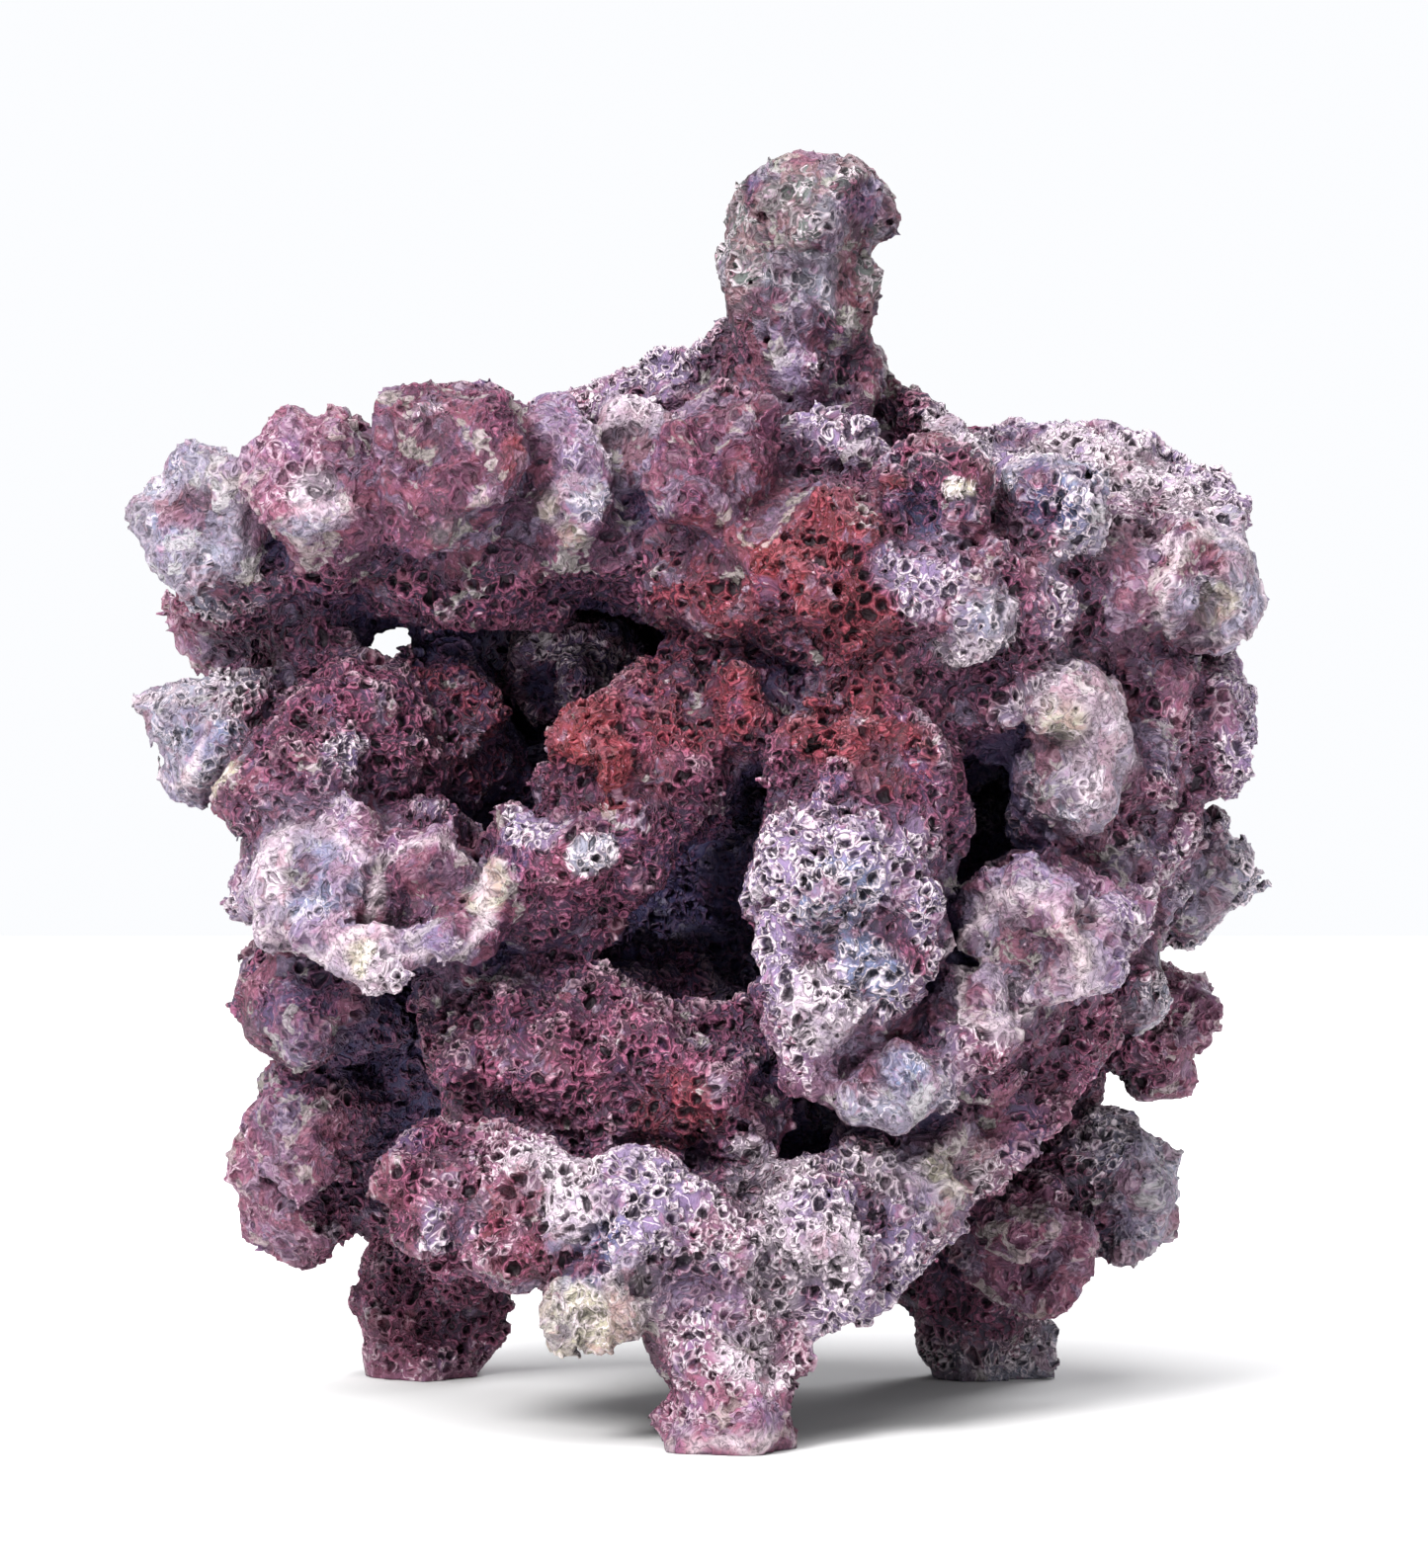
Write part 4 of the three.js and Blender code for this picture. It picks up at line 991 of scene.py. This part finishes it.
def line_colour(nodes, stone, tint, edge_blotch_and_top_highlight):
    """Lines and rims: pink, redder on red stone, and whiter on pale stone, on edges, in blotches and where
    they face up, the last a painted highlight.
    """
    tint_red, tint_green, _ = nodes.add("ShaderNodeSeparateXYZ", {0: tint}).outputs
    redness = nodes.ramp(nodes.math("DIVIDE", tint_red, tint_green), 7.0, 14.0)
    pink = nodes.mix(0.5, stone, nodes.mix(redness, PINK_LINE, RED_LINE))
    white = nodes.mix(0.9, stone, WHITE_LINE)
    paleness = nodes.add("ShaderNodeSeparateXYZ", {0: stone}).outputs[1]
    whiter = nodes.ramp(edge_blotch_and_top_highlight, 0.56, 0.78, 0.0, 0.5)
    whiter = nodes.math("MULTIPLY", whiter, nodes.math("MULTIPLY_ADD", redness, -0.75, 1.0))
    whiter = nodes.math("ADD", whiter, nodes.ramp(paleness, 0.03, 0.11, 0.0, 1.0))
    return nodes.mix(whiter, pink, white)


def bump_of(nodes, pit, ridge, fine):
    """The normal, bumped by the pores, their rims and the fine noise."""
    height = nodes.math("MULTIPLY", pit, BUMP_PIT)
    height = nodes.math("MULTIPLY_ADD", ridge, BUMP_RIM, height)
    height = nodes.math("MULTIPLY_ADD", fine, BUMP_FINE, height)
    bump = nodes.add("ShaderNodeBump", {"Height": height, "Strength": 1.0, "Distance": 1.0})
    return bump.outputs["Normal"]


def stone_material():
    """The stone: its tints, crusts and shadows are stored on the mesh, and noise makes the rest."""
    material = bpy.data.materials.new("reef_stone")
    material.use_nodes = True
    material.node_tree.nodes.clear()
    nodes = Nodes(material.node_tree)

    def kept(name, output="Fac"):
        """A value that is stored on the mesh."""
        return nodes.add("ShaderNodeAttribute", attribute_name=name).outputs[output]

    place, tint = kept("place", "Vector"), kept("tint", "Color")
    crust, pored, rim = kept("crust"), kept("pored"), kept("rim")
    edge, bulge, seen, up = kept("edge"), kept("bulge"), kept("seen"), kept("up")
    drift, blotch = kept("drift"), kept("blotch")
    pit, ridge, bent = pores(nodes, place)
    fine = nodes.noise(bent, FINE_WIDTH, 3.0, 0.75).outputs["Fac"]

    # The bare stone with painted shade in hollows and sheltered places, its crust, and the pale rims of
    # some blunt ends
    stone = hue_and_painted_shade(nodes, tint, drift, bulge, seen)
    patch = crust_patches(nodes, blotch, edge, crust, fine)
    stone = nodes.mix(nodes.math("MULTIPLY", patch, 0.85), stone, flakes(nodes, stone, bent, crust))
    stone = nodes.mix(nodes.math("MULTIPLY", rim, 0.7), stone, PALE_RIM)

    # Fine specks, and dark cracks in the crust
    stone = nodes.mix(nodes.ramp(fine, 0.5, 0.36, 0.0, 0.65), stone, DARK_SPECK)
    stone = nodes.mix(nodes.ramp(fine, 0.54, 0.68, 0.0, 0.26), stone, PALE_SPECK)
    line = curly_lines(nodes, bent, fine)
    crack = nodes.math("MULTIPLY", nodes.math("MULTIPLY", line, patch), 0.75)
    stone = nodes.mix(crack, stone, CRACK)

    # Dark pores, partly dark paint and partly painted shade, painted shade in caves, and pale lines and
    # rims on the bare stone, with a painted highlight where they face up
    bare = nodes.math("MULTIPLY", nodes.math("MULTIPLY_ADD", patch, -0.6, 1.0), pored)
    pit = nodes.math("MULTIPLY", pit, bare)
    ridge = nodes.math("MULTIPLY", ridge, bare)
    line = nodes.math("MULTIPLY", line, nodes.math("MULTIPLY_ADD", patch, -0.9, 0.9))
    line = nodes.math("MAXIMUM", line, ridge)
    # The pits darken to near black: partly the dark paint in the pores, partly painted shade.
    colour = nodes.mix(nodes.math("MULTIPLY", pit, 0.95), stone, nodes.mix(0.9, stone, DARK_PORE_PAINT_AND_SHADE))
    # Painted shade: caves that see almost no sky turn a dark blue purple.
    colour = nodes.mix(nodes.ramp(seen, 0.24, 0.05, 0.0, 0.9), colour, PAINTED_CAVE_SHADE)
    # The lines whiten on edges, in blotches and where the surface faces up; the upward part is a painted
    # highlight.
    edge_blotch_and_top_highlight = nodes.math("MULTIPLY_ADD", edge, 0.14, nodes.math("MULTIPLY_ADD", up, 0.12, blotch))
    # The pale lines show less in hollows and fade in sheltered places: painted shade.
    clear = nodes.math("MULTIPLY", line, nodes.math("MULTIPLY_ADD", bulge, 0.45, 0.55))
    clear = nodes.math("MULTIPLY", clear, nodes.ramp(seen, 0.02, 0.3, 0.25, 1.0))
    colour = nodes.mix(clear, colour, line_colour(nodes, stone, tint, edge_blotch_and_top_highlight))

    inputs = {"Base Color": colour, "Roughness": 0.6, "Normal": bump_of(nodes, pit, ridge, fine)}
    shader = nodes.add("ShaderNodeBsdfPrincipled", inputs)
    nodes.add("ShaderNodeOutputMaterial", {"Surface": shader.outputs[0]})
    return material


# Objects and meshes


def put_in_scene(name, data):
    """A new object in the scene, which holds a mesh, a lamp or a camera."""
    item = bpy.data.objects.new(name, data)
    bpy.context.scene.collection.objects.link(item)
    return item


def mesh_from(points, faces, name):
    """A mesh of triangles."""
    mesh = bpy.data.meshes.new(name)
    mesh.vertices.add(len(points))
    mesh.vertices.foreach_set("co", points.astype(np.float32).ravel())
    mesh.loops.add(faces.size)
    mesh.loops.foreach_set("vertex_index", faces.astype(np.int32).ravel())
    mesh.polygons.add(len(faces))
    mesh.polygons.foreach_set("loop_start", np.arange(0, faces.size, 3, dtype=np.int32))
    mesh.update(calc_edges=True)
    return mesh


def shade_smooth(mesh):
    """Lets the light run on from face to face."""
    mesh.polygons.foreach_set("use_smooth", np.ones(len(mesh.polygons), bool))


def normals_of(mesh):
    """The way that the surface faces at each point, as rows of three."""
    normals = np.zeros(len(mesh.vertices) * 3, np.float32)
    mesh.vertices.foreach_get("normal", normals)
    return normals.reshape(-1, 3)


def give(mesh, name, kind, values):
    """Stores a value on each point of a mesh."""
    layer = mesh.attributes.new(name, kind, "POINT")
    field = "vector" if kind == "FLOAT_VECTOR" else "value"
    layer.data.foreach_set(field, np.asarray(values, np.float32).ravel())


def read(mesh, name, width):
    """The stored value of each point, as numbers or as rows of three."""
    values = np.zeros(len(mesh.vertices) * width, np.float32)
    layer = mesh.attributes[name]
    layer.data.foreach_get("vector" if width == 3 else "value", values)
    return values.reshape(-1, width) if width > 1 else values


# The finished pieces: the rock is cut by level planes, only to keep each mesh small


def cut_piece(points, faces, given, low, high, name):
    """The part of the mesh between two heights, closed where it is cut."""
    tops = points[faces][:, :, 2].max(1)
    bottoms = points[faces][:, :, 2].min(1)
    used, part = used_only(points, faces[(tops > low) & (bottoms < high)])
    mesh = mesh_from(points[used], part, name)
    for key, (kind, values) in given.items():
        give(mesh, key, kind, values[used])
    work = bmesh.new()
    work.from_mesh(mesh)
    for height, keep_above in ((low, True), (high, False)):
        if not points[:, 2].min() < height < points[:, 2].max():
            continue
        cut = bmesh.ops.bisect_plane(
            work,
            geom=[*work.verts, *work.edges, *work.faces],
            dist=ON_PLANE,
            plane_co=(0, 0, height),
            plane_no=(0, 0, 1),
            clear_inner=keep_above,
            clear_outer=not keep_above,
        )
        rim = [e for e in cut["geom_cut"] if isinstance(e, bmesh.types.BMEdge) and e.is_valid]
        cap_cut(work, rim, upward=not keep_above)
    bmesh.ops.triangulate(work, faces=[f for f in work.faces if len(f.verts) > 3])
    work.to_mesh(mesh)
    work.free()
    keep_normals(mesh, low, high)
    return mesh


def cap_cut(work, rim, upward):
    """Closes the loops of a level cut with flat triangles, and leaves what lies outside the stone open."""
    corners = list({corner for edge in rim for corner in edge.verts})
    corners.sort(key=lambda corner: corner.index)
    number = {corner: place for place, corner in enumerate(corners)}
    flat = [Vector(corner.co[:2]) for corner in corners]
    edges = [(number[edge.verts[0]], number[edge.verts[1]]) for edge in rim]
    found, _, triangles, origins, _, _ = delaunay_2d_cdt(flat, edges, [], INSIDE_LOOPS, SAME_PLACE)
    level = corners[0].co.z
    placed = []
    for at, origin in zip(found, origins):
        placed.append(corners[origin[0]] if origin else work.verts.new((at.x, at.y, level)))
    for triangle in triangles:
        around = [placed[step] for step in triangle]
        if len(set(around)) == 3 and not work.faces.get(around):
            work.faces.new(around if upward else around[::-1])


def keep_normals(mesh, low, high):
    """Gives the stone the normals of the uncut rock, so that no cut shows, and the caps flat ones."""
    shade_smooth(mesh)
    corner_points = np.zeros(len(mesh.loops), np.int32)
    mesh.loops.foreach_get("vertex_index", corner_points)
    heights = read(mesh, "position", 3)[:, 2][corner_points].reshape(-1, 3)
    normals = read(mesh, "soft_normal", 3)[corner_points]
    normals /= np.linalg.norm(normals, axis=1, keepdims=True) + 1e-9
    for height, way in ((low, -1), (high, 1)):
        cap = (np.abs(heights - height) < CAP_LEVEL).all(1).repeat(3)
        normals[cap] = (0, 0, way)
    mesh.normals_split_custom_set(normals.tolist())
    mesh.attributes.remove(mesh.attributes["soft_normal"])


def shape_rock():
    """The points and faces of the stone's surface, and what the finish needs to know at each point."""
    grid = add_roughness(rough_field())
    drill(grid, make_holes(grid))
    points, faces = shell_of(grid)
    crust = smooth_fingers(points, crust_of(points))
    centre = np.array([MIDDLE_X, MIDDLE_Y, 0.0])
    whole = mesh_from((points - centre) * MM, faces, "whole")
    shade_smooth(whole)
    outward = normals_of(whole)
    bpy.data.meshes.remove(whole)
    seen = openness(grid, points, outward)
    given = {
        "tint": ("FLOAT_VECTOR", tint_of(points)),
        "crust": ("FLOAT", crust),
        "pored": ("FLOAT", smooth(*SOLE, points[:, 2]) * (1 - CRUST_FILLS * crust)),
        "edge": ("FLOAT", smooth(*EDGE_SHARES, crowding(grid, points, EDGE_REACH))),
        "bulge": ("FLOAT", smooth(*BULGE_SHARES, crowding(grid, points, BULGE_REACH))),
        "seen": ("FLOAT", np.maximum(seen, CAVE_LIGHT * near_row(points, TIPS["caveFinger"]))),
        "up": ("FLOAT", outward[:, 2]),
        "rim": ("FLOAT", rim_of(points)),
    }
    return (points - centre) * MM, faces, given


def sink_rock(points, faces, given, stone):
    """The surface with its pores pressed in."""
    whole = mesh_from(points, faces, "whole")
    give(whole, "pored", *given["pored"])
    shade_smooth(whole)
    holder = put_in_scene("whole", whole)
    sunk = sink_pores(holder, stone)
    bpy.data.objects.remove(holder)
    bpy.data.meshes.remove(whole)
    given["place"] = ("FLOAT_VECTOR", read(sunk, "place", 3))
    given["drift"] = ("FLOAT", read(sunk, "drift", 1))
    given["blotch"] = ("FLOAT", read(sunk, "blotch", 1))
    given["soft_normal"] = ("FLOAT_VECTOR", normals_of(sunk))
    moved = read(sunk, "position", 3).astype(np.float64)
    bpy.data.meshes.remove(sunk)
    return moved


def make_rock():
    """The whole rock as nine pieces, all of them standing for the one solid."""
    points, faces, given = shape_rock()
    stone = stone_material()
    moved = sink_rock(points, faces, given, stone)
    levels = np.quantile(moved[faces[:, 0], 2], np.arange(1, SLICES) / SLICES)
    levels = [BELOW, *np.round(levels, 4), ABOVE]
    for number, (low, high) in enumerate(zip(levels[:-1], levels[1:]), 1):
        name = f"rock_{number}"
        mesh = cut_piece(moved, faces, given, low, high, name)
        mesh.materials.append(stone)
        piece = put_in_scene(name, mesh)
        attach(piece, "root")
        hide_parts("reef_rock")


# The stage, the lights and the camera


def make_stage():
    """A wide white floor."""
    mesh = bpy.data.meshes.new("floor")
    half = FLOOR_SIZE / 2
    corners = [(-half, -half, 0), (half, -half, 0), (half, half, 0), (-half, half, 0)]
    mesh.from_pydata(corners, [], [(0, 1, 2, 3)])
    floor = put_in_scene("floor", mesh)
    material = bpy.data.materials.new("floor")
    material.use_nodes = True
    shader = material.node_tree.nodes["Principled BSDF"]
    shader.inputs["Base Color"].default_value = FLOOR_WHITE
    shader.inputs["Roughness"].default_value = 0.9
    mesh.materials.append(material)


def turn_to(place, aim):
    """The turn of a lamp or a camera that looks from a place at an aim."""
    return (Vector(aim) - Vector(place)).to_track_quat("-Z", "Y").to_euler()


def add_lamp(name, place, width, power, colour):
    """A square lamp that faces the rock."""
    data = bpy.data.lights.new(name, "AREA")
    data.size = width
    data.energy = power
    data.color = colour
    lamp = put_in_scene(name, data)
    lamp.location = place
    lamp.rotation_euler = turn_to(place, AIM)


def make_sky():
    """A white sky that gives less light than the camera sees in it."""
    world = bpy.data.worlds.new("studio")
    world.use_nodes = True
    world.node_tree.nodes.clear()
    nodes = Nodes(world.node_tree)
    seen = nodes.add("ShaderNodeLightPath").outputs["Is Camera Ray"]
    strength = nodes.ramp(seen, 0.0, 1.0, SKY_STRENGTH, 1.0, smooth_step=False)
    sky = nodes.add("ShaderNodeBackground", {"Color": SKY_WHITE, "Strength": strength})
    nodes.add("ShaderNodeOutputWorld", {"Surface": sky.outputs[0]})
    bpy.context.scene.world = world


def make_light():
    """The sky, the lamps, and a wide soft light from the ceiling."""
    make_sky()
    for lamp in LAMPS:
        add_lamp(*lamp)
    data = bpy.data.lights.new("ceiling", "SUN")
    data.energy = CEILING_STRENGTH
    data.angle = math.radians(CEILING_SPREAD)
    ceiling = put_in_scene("ceiling", data)
    ceiling.rotation_euler = [math.radians(angle) for angle in CEILING_TILT]
    bpy.context.scene.view_settings.view_transform = "Standard"
    bpy.context.scene.cycles.max_bounces = BOUNCES
    bpy.context.scene.cycles.diffuse_bounces = DIFFUSE_BOUNCES


def make_camera():
    """A long lens in front of the rock."""
    data = bpy.data.cameras.new("camera")
    data.lens = CAMERA_LENS
    data.sensor_width = CAMERA_SENSOR
    data.clip_start, data.clip_end = CAMERA_NEAR, CAMERA_FAR
    camera = put_in_scene("camera", data)
    camera.location = CAMERA_PLACE
    camera.rotation_euler = turn_to(CAMERA_PLACE, CAMERA_AIM)
    bpy.context.scene.camera = camera


make_rock()
make_stage()
make_light()
make_camera()
